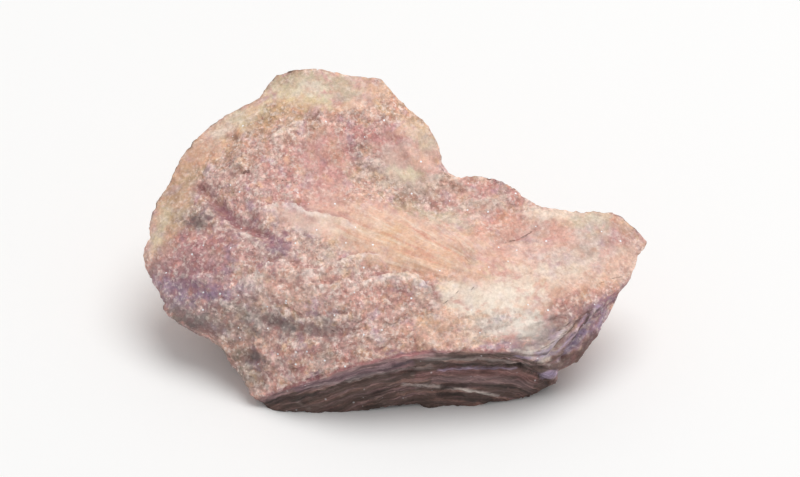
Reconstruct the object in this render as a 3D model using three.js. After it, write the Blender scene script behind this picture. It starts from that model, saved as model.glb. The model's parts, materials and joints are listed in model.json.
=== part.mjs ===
// A rhodonite hand specimen: one broken lump of foliated rock, lying on its underside.
//
// Lengths are millimetres and +Z is up. The lump is a broad display face that leans back, an
// irregular rim where that face breaks off, layered flanks below the rim, and an underside with
// a few flat spots to stand on. The origin is the middle of the footprint, on the surface that the
// stone lies on.
import * as THREE from "three";
import { ImprovedNoise } from "three/addons/math/ImprovedNoise.js";

// ---- Driving dimensions ----

// The display face is described square-on: u to the right, v up the face, w out of it.
const FACE_RISE_DEG = 50; // the square-on frame is turned up by this much about X
const FACE_ORIGIN = { y: 19.6, z: 33.5 }; // where u = v = w = 0 lies, above and behind the front foot
const FACE_LEAN = 0.36; // how far w falls for each millimetre up the face
const FACE_BOW = 0.0021; // how the face falls away towards both ends, per millimetre
const FACE_LEVEL = 1.4; // w of the face's middle
const FACE_HEART = { u: 2, v: -7 }; // the rings of the face close in on this point

const HEART = { x: 4, y: 12 }; // the upright axis that the flanks are swept round

const FACE_RINGS = 24; // rings of mesh from the heart of the face to its rim
const RIM_STEPS = 6 * FACE_RINGS;
const UNDER_RINGS = RIM_STEPS / 12; // the underside is meshed at half the rim's density

const RELAX_PASSES = 5; // how much the face's mesh is evened out

const RIM_ROUNDING = 7; // how late the face starts to fall to its rim: higher is sharper

const HOLLOW_DEPTH = 2.2; // depth of the underside's hollows
const HOLLOW_SIZE = 17; // and their width
const HOLLOW_SLICE = 0.5; // where through the noise they are taken
const HOLLOW_START = -0.05; // the noise's value where they start, below which the rock lies flat

// The rim of the display face, clockwise: [u, v, how far it drops below the face there].
const RIM = {
  weatheredShoulder: [
    [-64.1, -0.5, 6], [-63.6, 2.2, 6], [-62.1, 4.6, 6], [-62.8, 7.7, 6.5], [-61, 13.7, 6.5],
    [-58.3, 17.4, 7], [-55.6, 23.9, 7], [-50.6, 31.1, 7.5], [-44.9, 35.3, 7.5], [-34.8, 39.9, 7],
  ],
  crown: [
    [-33.5, 42.4, 6.5], [-31.3, 45.6, 6], [-29.3, 46.9, 5.5], [-24.3, 47.6, 5.5], [-19.1, 47.5, 5.5],
    [-12.9, 46.1, 5], [-3.7, 45.4, 4.5], [-1.7, 42.6, 4.5],
  ],
  notch: [
    [4.3, 37, 4], [6.6, 34.9, 3.5], [9.4, 30.7, 3], [10.7, 26.8, 2.5], [11.4, 23.1, 2],
    [13.3, 20, 1.5], [16.5, 19.5, 1.5],
  ],
  wing: [
    [19.8, 20.5, 2.5], [23.8, 19.4, 2.5], [26.7, 19.2, 3], [31.9, 15.2, 3], [35.7, 12.4, 3],
    [39.8, 12, 3], [44.4, 11, 3], [49.5, 10.6, 2.5], [54.7, 11.2, 2.5], [57, 10.7, 2.5],
    [59.5, 7.7, 2], [61.7, 6.3, 1.5], [63.7, 3.4, 1.5], [61, -0.6, 1], [58.8, -6.2, 0.5],
  ],
  fold: [
    [52.8, -11.4, 0.6], [47.8, -16, 0.8], [42.5, -20.2, 1], [36.2, -23.8, 1],
  ],
  keel: [
    [30, -24.6, 0.6], [21.2, -24.5, 0], [12.5, -24.6, 0], [5, -25.5, 0], [-2.5, -26.5, 0.2],
    [-10, -28.2, 0.8], [-17.5, -30.8, 2.5], [-25, -33.2, 4.7], [-32.4, -36, 8.6],
  ],
  frontCorner: [
    [-34.8, -36.8, 9.2], [-36.4, -33.8, 7.6], [-38, -30, 5.9], [-41.8, -25.2, 5.3],
    [-44.6, -21.6, 5.2],
  ],
  leftBreak: [
    [-47, -20, 5.6], [-52.8, -18.2, 6.2], [-58, -14.8, 6.5], [-59.8, -10.7, 6.4],
    [-62, -6.4, 6.6],
  ],
};

// The widest line of the flanks, counterclockwise from the front: [x, y, z].
const WAIST = [
  [0, -2.3, 9], [20, -1.6, 10], [33, 0.4, 10], [41.2, 2.8, 10.5], [46.8, 4.8, 12.5],
  [50, 8, 16.5], [52.6, 11.4, 19.5], [55.2, 16.4, 22], [58, 25, 23.5], [54.5, 34.5, 24],
  [40, 40, 20], [24, 46, 23], [13, 53, 27], [5, 64, 31], [-8, 70, 33], [-26, 72, 34],
  [-41, 66, 33], [-51, 54, 29], [-58, 42, 23], [-60.5, 33, 17.5], [-54, 23.5, 10],
  [-44.5, 19, 7], [-39.6, 12.5, 5], [-37, 5.4, 3.4], [-34.7, 1, 1.7], [-31.2, -1, 2.2],
  [-17, -2.4, 6],
];

// The foot of the flanks, on the ground, counterclockwise from the front: [x, y].
const FOOT = [
  [0, -0.6], [12, 0.7], [20, 0.6], [31, 2.2], [37.4, 4.8], [40.4, 11.4], [39, 25], [33, 35],
  [18, 43], [4, 53], [-14, 58], [-30, 55], [-40, 46], [-43, 36], [-41.5, 27], [-38.3, 17],
  [-36, 7.6], [-33.8, 1], [-29.5, -1.8], [-22, -2.1], [-10, -1.9],
];

// Swells and hollows of the display face: middle, half lengths along and across, turn in
// degrees, and rise out of the face.
const RELIEF = [
  { name: "nose", at: [6, -8], reach: [44, 13], turn: -6, rise: 2.6 },
  { name: "valley", at: [10, 12.5], reach: [24, 6.5], turn: -15, rise: -5.2 },
  { name: "upper dish", at: [-4, 24], reach: [16, 11], turn: 10, rise: -3.4 },
  { name: "inner shoulder", at: [-34, 26], reach: [18, 6], turn: 28, rise: 1.6 },
  { name: "purple groove", at: [-40, 11.5], reach: [13, 2.4], turn: -37, rise: -1.7 },
  { name: "left fall", at: [-52, -12], reach: [17, 9], turn: -20, rise: -2.6 },
  { name: "dark crease", at: [-24, -17], reach: [15, 2.6], turn: -6, rise: -1.1 },
  { name: "pale swell", at: [27, -9], reach: [15, 7], turn: -4, rise: 1.2 },
  { name: "wing crack", at: [30, 4], reach: [8, 1.4], turn: 22, rise: -1.2 },
  { name: "wing tip", at: [52, 0], reach: [10, 8], turn: 0, rise: 0.8 },
  { name: "curved crest", at: [-23.5, 20], reach: [7, 2.2], turn: -65, rise: 0.8 },
  { name: "upper crease", at: [-10.5, 24], reach: [7, 2], turn: -67, rise: -0.9 },
  { name: "corner fall", at: [-36, -34], reach: [18, 13], turn: 15, rise: -7 },
];

// Torn ledges across the display face. The layer below each line stands proud of the one above it
// by its step, which dies away down the face. Lines run left to right.
const LEDGES = [
  { name: "upper ledge", line: [[-34.3, 12.8], [-23.8, 12.8], [-20.8, 10.8], [-12.5, 9.3]], step: 1.1 },
  { name: "left ledge", line: [[-38.8, -5], [-27.5, -1.8], [-23.8, -2.8], [-13.8, -1.8]], step: 1.3 },
  { name: "middle ledge", line: [[-18.8, -6.8], [-8.8, -6.3], [0, -4.8], [5, -5.4]], step: 1 },
];
const LEDGE_FADE = 7; // how soon a ledge's step dies away down the face
const LEDGE_END = 3.5; // and how soon beyond the ends of its line
const LEDGE_EDGE = 0.8; // half width of the slope that makes its edge

// The rock parts along layers that run nearly with the display face, so that the face is a flight
// of shallow treads with ragged risers between them.
const TREAD = {
  rise: 1.8, // height of a riser
  dip: { u: -0.03, v: 0.31 }, // how the layers fall away, against the face's frame
  riser: 0.3, // share of a tread's width that its riser takes up
  wander: { size: 15, depth: 2 }, // how the layers swell and pinch
  ragged: { size: 5, depth: 0.9 }, // how the risers are torn
  slice: 7.5, // where through the noise both are taken
};

// The rows of the flanks from rim (0) to foot (1). Each layer of the rock ends in a lip or is
// eaten back: [how far down, how far out].
const LAYERS = [
  [0.05, 0.1], [0.12, 0], [0.18, -0.5], [0.24, -1.5], [0.3, -1.1], [0.35, 0.5], [0.42, 0.9],
  [0.5, 0.3], [0.56, -0.9], [0.62, -0.5], [0.67, 0.6], [0.74, 0.7], [0.8, -0.7], [0.86, -0.3],
  [0.91, 0.5], [0.96, 0.2], [1, 0],
];
const LAYER_RUN = 16; // about how far a layer's lip runs before it breaks off
const LAYER_CHANGE = 40; // how little one layer's breaks follow the next one's
const LIP_MEAN = 0.6; // the lips stand out by this share of their "out" on average
const LIP_SWING = 1.4; // and by up to about this much more or less along a row

// Flat breaks across the back and the underside of the wings: the way that each faces, as an
// azimuth from +X and an elevation in degrees, and how far out it lies from the heart.
const BREAKS = [
  { name: "back", azimuth: 104, elevation: 8, reach: 63.3 },
  { name: "back left", azimuth: 146, elevation: -4, reach: 68.5 },
  { name: "back right", azimuth: 62, elevation: 4, reach: 46.3 },
  { name: "left", azimuth: 192, elevation: -30, reach: 54.5 },
];
const BREAK_HEIGHT = 22; // height of the point that the breaks' reaches are measured from

// Roughness of the broken rock, in octaves: grain size and depth.
const ROUGHNESS = [
  { size: 19, depth: 1.3 },
  { size: 8.5, depth: 1.1 },
  { size: 4.6, depth: 0.7 },
];
const CREASE_LEVEL = 0.4; // lumps meet in creases, and this keeps their mean at nothing
const FACE_CALM = 0.5; // the display face takes this share of the roughness
const RIM_CALM = 0.35; // and its rim this share
const UNDER_RIM = 0.2; // the flank takes less in this share of its height below the rim
const THIN_FLANK = 9; // the flank takes less where rim and waist are closer together than this

// ---- Small helpers ----

const noise = new ImprovedNoise();
const mix = THREE.MathUtils.lerp;
const radians = THREE.MathUtils.degToRad;

// The square-on frame of the display face, turned up to where the face lies.
const faceFrame = new THREE.Matrix4()
  .makeRotationX(radians(FACE_RISE_DEG))
  .setPosition(0, FACE_ORIGIN.y, FACE_ORIGIN.z);

function onFace(u, v, drop) {
  return new THREE.Vector3(u, v, faceRelief(u, v) - drop).applyMatrix4(faceFrame);
}

// The bearing from the heart of a point of the rim, as it would be without the face's treads.
function bearingOf({ x: u, y: v, z: drop }) {
  const p = new THREE.Vector3(u, v, faceSwell(u, v) - drop).applyMatrix4(faceFrame);
  return Math.atan2(p.y - HEART.y, p.x - HEART.x);
}

// How far the display face stands out at (u, v), with its treads.
function faceRelief(u, v) {
  const w = faceSwell(u, v);
  const { rise, dip, riser, wander, ragged, slice } = TREAD;
  let layer = w + dip.u * u + dip.v * v;
  for (const { size, depth } of [wander, ragged]) {
    layer += depth * noise.noise(u / size, v / size, slice);
  }
  const within = layer / rise - Math.floor(layer / rise);
  return w + rise * (THREE.MathUtils.smoothstep(within, 1 - riser, 1) - within);
}

// The same without the treads: the lean, the bow, the swells and hollows and the torn ledges.
function faceSwell(u, v) {
  let w = FACE_LEVEL - FACE_LEAN * v - FACE_BOW * u * u;
  for (const { at, reach, turn, rise } of RELIEF) {
    const c = Math.cos(radians(turn));
    const s = Math.sin(radians(turn));
    const along = ((u - at[0]) * c + (v - at[1]) * s) / reach[0];
    const across = ((v - at[1]) * c - (u - at[0]) * s) / reach[1];
    w += rise * Math.exp(-(along * along + across * across) / 2);
  }
  for (const { line, step } of LEDGES) {
    const { below, beyond } = ledgeAt(line, u, v);
    const share = THREE.MathUtils.smoothstep(below, -LEDGE_EDGE, LEDGE_EDGE);
    w += step * share * Math.exp(-Math.abs(below) / LEDGE_FADE - beyond / LEDGE_END);
  }
  return w;
}

// How far (u, v) lies below a ledge's line, and how far it lies beyond the line's ends.
function ledgeAt(line, u, v) {
  const last = line.length - 1;
  const i = Math.max(1, line.findIndex((end, n) => n > 0 && u <= end[0]) % line.length);
  const segment = u > line[last][0] ? last : i;
  const [[u0, v0], [u1, v1]] = [line[segment - 1], line[segment]];
  const share = THREE.MathUtils.clamp((u - u0) / (u1 - u0), 0, 1);
  return {
    below: mix(v0, v1, share) - v,
    beyond: Math.max(line[0][0] - u, u - line[last][0], 0),
  };
}

// Points at equal steps along a closed line, with each of its corners kept.
function evenSteps(corners, count) {
  const path = new THREE.CurvePath();
  corners.forEach((p, i) => path.add(new THREE.LineCurve3(p, corners[(i + 1) % corners.length])));
  const points = path.getSpacedPoints(count).slice(0, count);
  for (const corner of corners) {
    const gaps = points.map((p) => p.distanceTo(corner));
    points[gaps.indexOf(Math.min(...gaps))] = corner.clone();
  }
  return points;
}

// The point this share of the way round a closed loop of points.
function around(loop, share) {
  const place = share * loop.length;
  const i = Math.floor(place);
  return loop[i % loop.length].clone().lerp(loop[(i + 1) % loop.length], place - i);
}

// Where the upright plane from the heart at this bearing crosses a loop that goes round it.
function loopAt(loop, bearing) {
  const ray = new THREE.Vector2(Math.cos(bearing), Math.sin(bearing));
  const side = ({ x, y }) => ray.x * (y - HEART.y) - ray.y * (x - HEART.x);
  const ahead = ({ x, y }) => ray.x * (x - HEART.x) + ray.y * (y - HEART.y) > 0;
  const i = loop.findIndex((a, n) => {
    const b = loop[(n + 1) % loop.length];
    return side(a) <= 0 && side(b) > 0 && ahead(a.clone().lerp(b, 0.5));
  });
  const [a, b] = [loop[i], loop[(i + 1) % loop.length]];
  return a.clone().lerp(b, side(a) / (side(a) - side(b)));
}

// How far the underside is hollowed at (x, y): nothing on the flat spots that the stone lies on.
function groundGap(x, y) {
  const swell = noise.noise(x / HOLLOW_SIZE, y / HOLLOW_SIZE, HOLLOW_SLICE);
  return HOLLOW_DEPTH * Math.max(0, swell - HOLLOW_START);
}

// ---- Loops and rows of the surface, each running counterclockwise seen from above ----

const rimCorners = Object.values(RIM).flat().reverse().map((p) => new THREE.Vector3(...p));
const rimOnFace = evenSteps(rimCorners, RIM_STEPS); // x, y, z hold u, v and the drop
const rim = rimOnFace.map((p) => onFace(p.x, p.y, p.z));
const waistLoop = WAIST.map((p) => new THREE.Vector3(...p));
const footLoop = FOOT.map(([x, y]) => new THREE.Vector3(x, y, 0));
const bearings = rimOnFace.map(bearingOf);
const waist = bearings.map((b) => loopAt(waistLoop, b));
const foot = bearings.map((b) => loopAt(footLoop, b));
for (const p of foot) p.z = groundGap(p.x, p.y);
const outward = waist.map(({ x, y }) => new THREE.Vector3(x - HEART.x, y - HEART.y, 0).normalize());
const flankBulk = rim.map((p, i) => Math.min(1, p.distanceTo(waist[i]) / THIN_FLANK) ** 2);

// The display face's rings, from the heart of the face out to the rim: ring k has 6k points, which
// hold u, v and the drop.
function faceRings() {
  const heart = new THREE.Vector3(FACE_HEART.u, FACE_HEART.v, 0);
  const rings = [[heart]];
  for (let k = 1; k <= FACE_RINGS; k++) {
    const share = k / FACE_RINGS;
    const ring = Array.from({ length: 6 * k }, (_, i) => {
      const edge = around(rimOnFace, i / (6 * k));
      const p = heart.clone().lerp(edge, share);
      p.z = edge.z * share ** RIM_ROUNDING;
      return p;
    });
    rings.push(ring);
  }
  return rings;
}

// One row of points round the flanks, some way down from rim to foot and some way out. A layer's
// lip comes and goes along its row.
function flankRow([down, out]) {
  return rim.map((top, i) => {
    const p =
      down < 0.5
        ? top.clone().lerp(waist[i], down * 2)
        : waist[i].clone().lerp(foot[i], down * 2 - 1);
    const run = noise.noise(p.x / LAYER_RUN, p.y / LAYER_RUN, LAYER_CHANGE * down);
    const lip = LIP_MEAN + LIP_SWING * run;
    return p.addScaledVector(outward[i], out * lip * flankBulk[i]);
  });
}

// The underside's rings, from its middle out to just inside the foot, at half the rim's density.
function underRings() {
  const outline = foot.filter((_, i) => i % 2 === 0);
  const middle = new THREE.Vector3();
  outline.forEach((p) => middle.addScaledVector(p, 1 / outline.length));
  const rings = [[middle]];
  for (let k = 1; k <= UNDER_RINGS; k++) {
    const ring = Array.from({ length: 6 * k }, (_, i) =>
      middle.clone().lerp(around(outline, i / (6 * k)), k / (UNDER_RINGS + 1)),
    );
    rings.push(ring);
  }
  for (const p of rings.flat()) p.z = groundGap(p.x, p.y);
  return rings;
}

// ---- Meshing ----

const points = [];
const triangles = [];

// Adds a row of points and returns the row's indices.
function addRow(row) {
  points.push(...row);
  return row.map((_, i) => points.length - row.length + i);
}

// Fills in a disc between rings of 1, 6, 12, 18 ... points.
function fillDisc(rings, faceUp) {
  const add = (a, b, c) => triangles.push(...(faceUp ? [a, b, c] : [a, c, b]));
  for (let k = 1; k < rings.length; k++) {
    const [inner, outer] = [rings[k - 1], rings[k]];
    for (let sector = 0; sector < 6; sector++) {
      for (let i = 0; i < k; i++) {
        const a = inner[(sector * (k - 1) + i) % inner.length];
        const b = outer[sector * k + i];
        const c = outer[(sector * k + i + 1) % outer.length];
        add(a, b, c);
        if (i < k - 1) add(a, c, inner[(sector * (k - 1) + i + 1) % inner.length]);
      }
    }
  }
}

// Fills in the band between an upper and a lower row of as many points.
function fillBand(upper, lower) {
  upper.forEach((a, i) => {
    const next = (i + 1) % upper.length;
    triangles.push(a, lower[i], upper[next], upper[next], lower[i], lower[next]);
  });
}

// Joins the foot to the outermost ring of the underside, which has half as many points.
function fillFootBand(outer, inner) {
  inner.forEach((a, i) => {
    const b = inner[(i + 1) % inner.length];
    const [c, d, e] = [outer[2 * i], outer[2 * i + 1], outer[(2 * i + 2) % outer.length]];
    triangles.push(a, d, c, a, b, d, b, e, d);
  });
}

// Evens out the mesh inside the rim: each point moves to the middle of its neighbours.
function relaxFace(rows) {
  const inside = rows.slice(0, -1).flat();
  const neighbours = new Map(inside.map((i) => [i, new Set()]));
  for (let t = 0; t < triangles.length; t += 3) {
    const corners = triangles.slice(t, t + 3);
    for (const i of corners) for (const j of corners) if (i !== j) neighbours.get(i)?.add(j);
  }
  for (let pass = 0; pass < RELAX_PASSES; pass++) {
    for (const [i, ring] of neighbours) {
      points[i].set(0, 0, 0);
      for (const j of ring) points[i].addScaledVector(points[j], 1 / ring.size);
    }
  }
}

const faceRows = faceRings().map(addRow);
const rimRow = faceRows.at(-1);
fillDisc(faceRows, true);
relaxFace(faceRows);
for (const i of faceRows.flat()) points[i] = onFace(points[i].x, points[i].y, points[i].z);

const flankRows = [rimRow, ...LAYERS.slice(0, -1).map((layer) => addRow(flankRow(layer)))];
const footRow = addRow(foot);
const underRows = underRings().map(addRow);

[...flankRows, footRow].forEach((row, i, rows) => i && fillBand(rows[i - 1], row));
fillFootBand(footRow, underRows.at(-1));
fillDisc(underRows, false);

// ---- Breaks and roughness ----

// Lays the points of the flanks that reach past a break flat onto it.
function flattenOntoBreaks() {
  const core = new THREE.Vector3(HEART.x, HEART.y, BREAK_HEIGHT);
  for (const { azimuth, elevation, reach } of BREAKS) {
    const [turn, tilt] = [radians(azimuth), radians(elevation)];
    const level = Math.cos(tilt);
    const facing = new THREE.Vector3(level * Math.cos(turn), level * Math.sin(turn), Math.sin(tilt));
    for (const i of flankRows.slice(1).flat()) {
      const past = points[i].clone().sub(core).dot(facing) - reach;
      if (past > 0) points[i].addScaledVector(facing, -past);
    }
  }
}

// How far the rough surface stands out at a point: lumps of several sizes that meet in creases.
function roughnessAt({ x, y, z }) {
  let push = 0;
  for (const { size, depth } of ROUGHNESS) {
    push += depth * (CREASE_LEVEL - 2 * Math.abs(noise.noise(x / size, y / size, z / size)));
  }
  return push;
}

// Roughens the face along its own outward way, and the flanks along the level: most on the thick
// flanks, less on the face and along the rim, and not at all where the stone touches the ground.
function roughen() {
  const faceOut = new THREE.Vector3(0, 0, 1).transformDirection(faceFrame);
  const push = (i, way, strength) => points[i].addScaledVector(way, strength * roughnessAt(points[i]));
  for (const row of faceRows.slice(0, -1)) for (const i of row) push(i, faceOut, FACE_CALM);
  for (const i of rimRow) push(i, faceOut, RIM_CALM);
  flankRows.slice(1).forEach((row, k) => {
    const settled = Math.min(1, LAYERS[k][0] / UNDER_RIM);
    row.forEach((i, n) => push(i, outward[n], settled * flankBulk[n]));
  });
}

flattenOntoBreaks();
roughen();

const geometry = new THREE.BufferGeometry().setFromPoints(points);
geometry.setIndex(triangles);
geometry.computeVertexNormals();
geometry.computeBoundingBox();
const { min, max } = geometry.boundingBox;
geometry.translate(-(min.x + max.x) / 2, -(min.y + max.y) / 2, -min.z);

const stone = new THREE.Mesh(
  geometry,
  new THREE.MeshStandardMaterial({ color: 0xd6a595, roughness: 0.75, metalness: 0 }),
);
stone.name = "rhodonite_stone";

const specimen = new THREE.Group();
specimen.add(stone);

export default specimen;
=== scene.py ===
"""A rhodonite hand specimen: one rough, broken lump of foliated pink rock, lying on its underside.

The lump's main forms come with the frame. This script tears and grains its surface, paints its minerals
with some painted light and shade among them, and lights it. Lengths are millimetres where nothing else is
said. The display face is described square-on: u to the right, v up the face and w out of it. Where a value
is a pair for ease() or band(), a thing starts at the first number and is full at the second.
"""
import json
import math

import bpy
import numpy as np
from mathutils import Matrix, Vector, noise

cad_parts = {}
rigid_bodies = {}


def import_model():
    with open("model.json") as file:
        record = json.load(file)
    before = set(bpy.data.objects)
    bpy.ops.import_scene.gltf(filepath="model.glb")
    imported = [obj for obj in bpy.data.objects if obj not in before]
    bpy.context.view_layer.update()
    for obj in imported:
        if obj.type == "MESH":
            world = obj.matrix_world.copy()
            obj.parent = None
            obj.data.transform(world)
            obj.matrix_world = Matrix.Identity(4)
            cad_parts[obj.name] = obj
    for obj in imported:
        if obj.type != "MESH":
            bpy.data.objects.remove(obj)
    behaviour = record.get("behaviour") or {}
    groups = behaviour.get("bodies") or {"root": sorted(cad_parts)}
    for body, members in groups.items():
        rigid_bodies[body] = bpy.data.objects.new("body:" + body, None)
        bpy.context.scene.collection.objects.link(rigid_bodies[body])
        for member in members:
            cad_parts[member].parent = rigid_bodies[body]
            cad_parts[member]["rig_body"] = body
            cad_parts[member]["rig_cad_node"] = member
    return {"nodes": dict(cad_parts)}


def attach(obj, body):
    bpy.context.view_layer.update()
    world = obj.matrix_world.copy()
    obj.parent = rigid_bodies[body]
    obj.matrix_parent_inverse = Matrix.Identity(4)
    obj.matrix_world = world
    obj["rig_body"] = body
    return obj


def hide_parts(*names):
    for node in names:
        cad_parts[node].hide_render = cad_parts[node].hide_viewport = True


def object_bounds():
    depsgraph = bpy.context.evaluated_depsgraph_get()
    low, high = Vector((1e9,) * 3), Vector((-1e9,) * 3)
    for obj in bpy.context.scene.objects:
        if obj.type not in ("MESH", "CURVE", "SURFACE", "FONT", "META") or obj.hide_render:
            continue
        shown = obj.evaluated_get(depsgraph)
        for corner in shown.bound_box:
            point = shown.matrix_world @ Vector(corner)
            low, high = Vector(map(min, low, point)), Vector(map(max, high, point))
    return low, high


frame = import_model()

MM = 0.001
CAD_BOX = [list(corner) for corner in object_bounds()]

# ---- The display face's square-on frame ----

FACE_RISE = math.radians(50)
FACE_MIDDLE = 0.2  # x of the frame's origin
FACE_FROM_FRONT = 25.1  # from the foremost point of the stone back to the frame's origin
FACE_HEIGHT = 33.5
FACE_RIGHT = np.array([1, 0, 0])
FACE_UP = np.array([0, math.cos(FACE_RISE), math.sin(FACE_RISE)])
FACE_OUT = np.array([0, -math.sin(FACE_RISE), math.cos(FACE_RISE)])
FACE_AXES = np.array([FACE_RIGHT, FACE_UP, FACE_OUT])
FACE_ORIGIN = np.array([FACE_MIDDLE, CAD_BOX[0][1] / MM + FACE_FROM_FRONT, FACE_HEIGHT])


def on_face(points):
    """u, v, w of points given in millimetres."""
    return (points - FACE_ORIGIN) @ FACE_AXES.T


# ---- Camera, light and floor ----

CAMERA_LENS = 150
CAMERA_SENSOR = 36
CAMERA_AWAY = 833.3
CAMERA_AIM = (1.25, 4.125)  # u, v

# The lights and the floor are in metres and watts, with colours of light.
KEY_SPOT = (0.45, 0.2, 2.4)
KEY_SIZE = 1.9
KEY_POWER = 38.2
KEY_TINT = (1, 0.994, 0.98)
SKY_STRENGTH = 0.5
FLOOR_SIZE = 8
FLOOR_TINT = (0.93, 0.93, 0.93, 1)


def place_camera():
    bpy.ops.object.camera_add()
    camera = bpy.context.object
    camera.name = "camera"
    camera.data.lens = CAMERA_LENS
    camera.data.sensor_width = CAMERA_SENSOR
    spot = FACE_ORIGIN + np.array([*CAMERA_AIM, CAMERA_AWAY]) @ FACE_AXES
    camera.location = spot * MM
    camera.rotation_euler = (FACE_RISE, 0, 0)
    bpy.context.scene.camera = camera


def hang_key_light():
    bpy.ops.object.light_add(type="AREA", location=KEY_SPOT)
    light = bpy.context.object
    light.name = "key"
    light.data.shape = "DISK"
    light.data.size = KEY_SIZE
    light.data.energy = KEY_POWER
    light.data.color = KEY_TINT
    light.rotation_euler = (-Vector(KEY_SPOT)).to_track_quat("-Z", "Y").to_euler()


def fill_with_sky():
    world = bpy.data.worlds.new("studio")
    bpy.context.scene.world = world
    world.use_nodes = True
    background = world.node_tree.nodes["Background"]
    background.inputs["Color"].default_value = (1, 1, 1, 1)
    background.inputs["Strength"].default_value = SKY_STRENGTH


def lay_floor():
    bpy.ops.mesh.primitive_plane_add(size=FLOOR_SIZE)
    floor = bpy.context.object
    floor.name = "floor"
    paint = bpy.data.materials.new("pale_floor")
    paint.use_nodes = True
    shader = paint.node_tree.nodes["Principled BSDF"]
    shader.inputs["Base Color"].default_value = FLOOR_TINT
    shader.inputs["Roughness"].default_value = 1
    shader.inputs["Specular IOR Level"].default_value = 0
    floor.data.materials.append(paint)


# ---- Noise, lines and ovals, over many points at once ----

SEED_STEP = 17.3  # how far apart two seeds take their noise


def swell(points, size, seed):
    """Smooth noise from -1 to 1, with lumps about size across."""
    spots = points / size + seed * SEED_STEP
    return np.array([noise.noise(spot) for spot in spots.tolist()])


def rubble(points, size, seed, octaves=3):
    """The same in several octaves, each half as large and as deep as the last."""
    total = sum(0.5**octave * swell(points, size / 2**octave, seed + octave) for octave in range(octaves))
    return total / (2 - 0.5 ** (octaves - 1))


def grains(points, size, seed):
    """Distance to the nearest grain's middle, and a number from -0.5 to 0.5 for each grain."""
    spots = (points / size + seed * SEED_STEP).tolist()
    found = [noise.voronoi(spot) for spot in spots]
    near = np.array([distances[0] for distances, _ in found])
    shade = np.array([noise.cell(middles[0]) for _, middles in found]) - 0.5
    return near, shade


def flat(u, v):
    """Points with nothing in their third direction, to take noise at."""
    return np.stack([u, v, 0 * u], 1)


def ease(low, high, value):
    """Rises smoothly from 0 at low to 1 at high, which may also lie below low."""
    share = np.clip((value - low) / (high - low), 0, 1)
    return share * share * (3 - 2 * share)


def mound(distance, width):
    """1 at no distance, and fading out by about twice the width."""
    return np.exp(-((distance / width) ** 2))


def run_of(line, u, v):
    """For each point: its distance to a line of (u, v) corners, how far it is above the line, and
    how far it is beyond the line's ends."""
    best = np.full(len(u), np.inf)
    above = np.zeros(len(u))
    beyond = np.zeros(len(u))
    last = len(line) - 2
    for part, ((start_u, start_v), (end_u, end_v)) in enumerate(zip(line, line[1:])):
        step_u, step_v = end_u - start_u, end_v - start_v
        length = math.hypot(step_u, step_v)
        along = ((u - start_u) * step_u + (v - start_v) * step_v) / length
        side = ((v - start_v) * step_u - (u - start_u) * step_v) / length
        over = np.where(along < 0, -along, np.maximum(along - length, 0))
        distance = np.hypot(over, side)
        nearer = distance < best
        best = np.where(nearer, distance, best)
        above = np.where(nearer, side, above)
        outside = (along < 0) & (part == 0) | (along > length) & (part == last)
        beyond = np.where(nearer, np.where(outside, over, 0), beyond)
    return best, above, beyond


def oval_of(middle, reach, turn, u, v):
    """How far out each point is in an oval: 0 at its middle and 1 at its edge."""
    cosine, sine = math.cos(math.radians(turn)), math.sin(math.radians(turn))
    off_u, off_v = u - middle[0], v - middle[1]
    return np.hypot((off_u * cosine + off_v * sine) / reach[0], (off_v * cosine - off_u * sine) / reach[1])


# ---- The blank: the frame's stone as a fine mesh ----

MERGE = 0.01
SHARP_RIM = 50  # degrees
RIM_CREASE = 0.75
REFINING = 2
SMOOTHING = 0.5
FACET_ROUNDS = 2
WORN_ROUNDS = 40

# Where the display face is worn even: name, middle, half lengths and turn.
WORN_SPOTS = [
    ("above the crest", (-15, -24.5), (11, 3.6), 16),
    ("lobe slope", (7, 24.5), (10.5, 5), -48),
]
WORN_FADE = (1.2, 0.7)  # shares of an oval's reach, where the wear starts and is full
WORN_FACING = (0.1, 0.4)


def select_only(piece):
    bpy.ops.object.select_all(action="DESELECT")
    piece.select_set(True)
    bpy.context.view_layer.objects.active = piece


def rough_blank():
    """A copy of the frame's stone as a fine mesh, its facets eased and its sharp rims kept."""
    select_only(frame["nodes"]["rhodonite_stone"])
    bpy.ops.object.duplicate()
    blank = bpy.context.object
    blank.name = "rhodonite_rock"
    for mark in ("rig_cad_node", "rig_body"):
        if mark in blank:
            del blank[mark]
    select_only(blank)
    bpy.ops.object.mode_set(mode="EDIT")
    bpy.ops.mesh.select_all(action="SELECT")
    bpy.ops.mesh.remove_doubles(threshold=MERGE * MM)
    bpy.ops.mesh.tris_convert_to_quads(face_threshold=math.pi, shape_threshold=math.pi)
    bpy.ops.mesh.select_all(action="DESELECT")
    bpy.ops.mesh.edges_select_sharp(sharpness=math.radians(SHARP_RIM))
    bpy.ops.transform.edge_crease(value=RIM_CREASE)
    bpy.ops.object.mode_set(mode="OBJECT")
    refine = blank.modifiers.new("refine", "SUBSURF")
    refine.levels = refine.render_levels = REFINING
    bpy.ops.object.modifier_apply(modifier="refine")
    smooth(blank, "relax", FACET_ROUNDS)
    mark_worn(blank)
    smooth(blank, "wear", WORN_ROUNDS, "worn")
    return blank


def smooth(piece, name, rounds, group=""):
    modifier = piece.modifiers.new(name, "SMOOTH")
    modifier.factor = SMOOTHING
    modifier.iterations = rounds
    modifier.vertex_group = group
    bpy.ops.object.modifier_apply(modifier=name)


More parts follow.
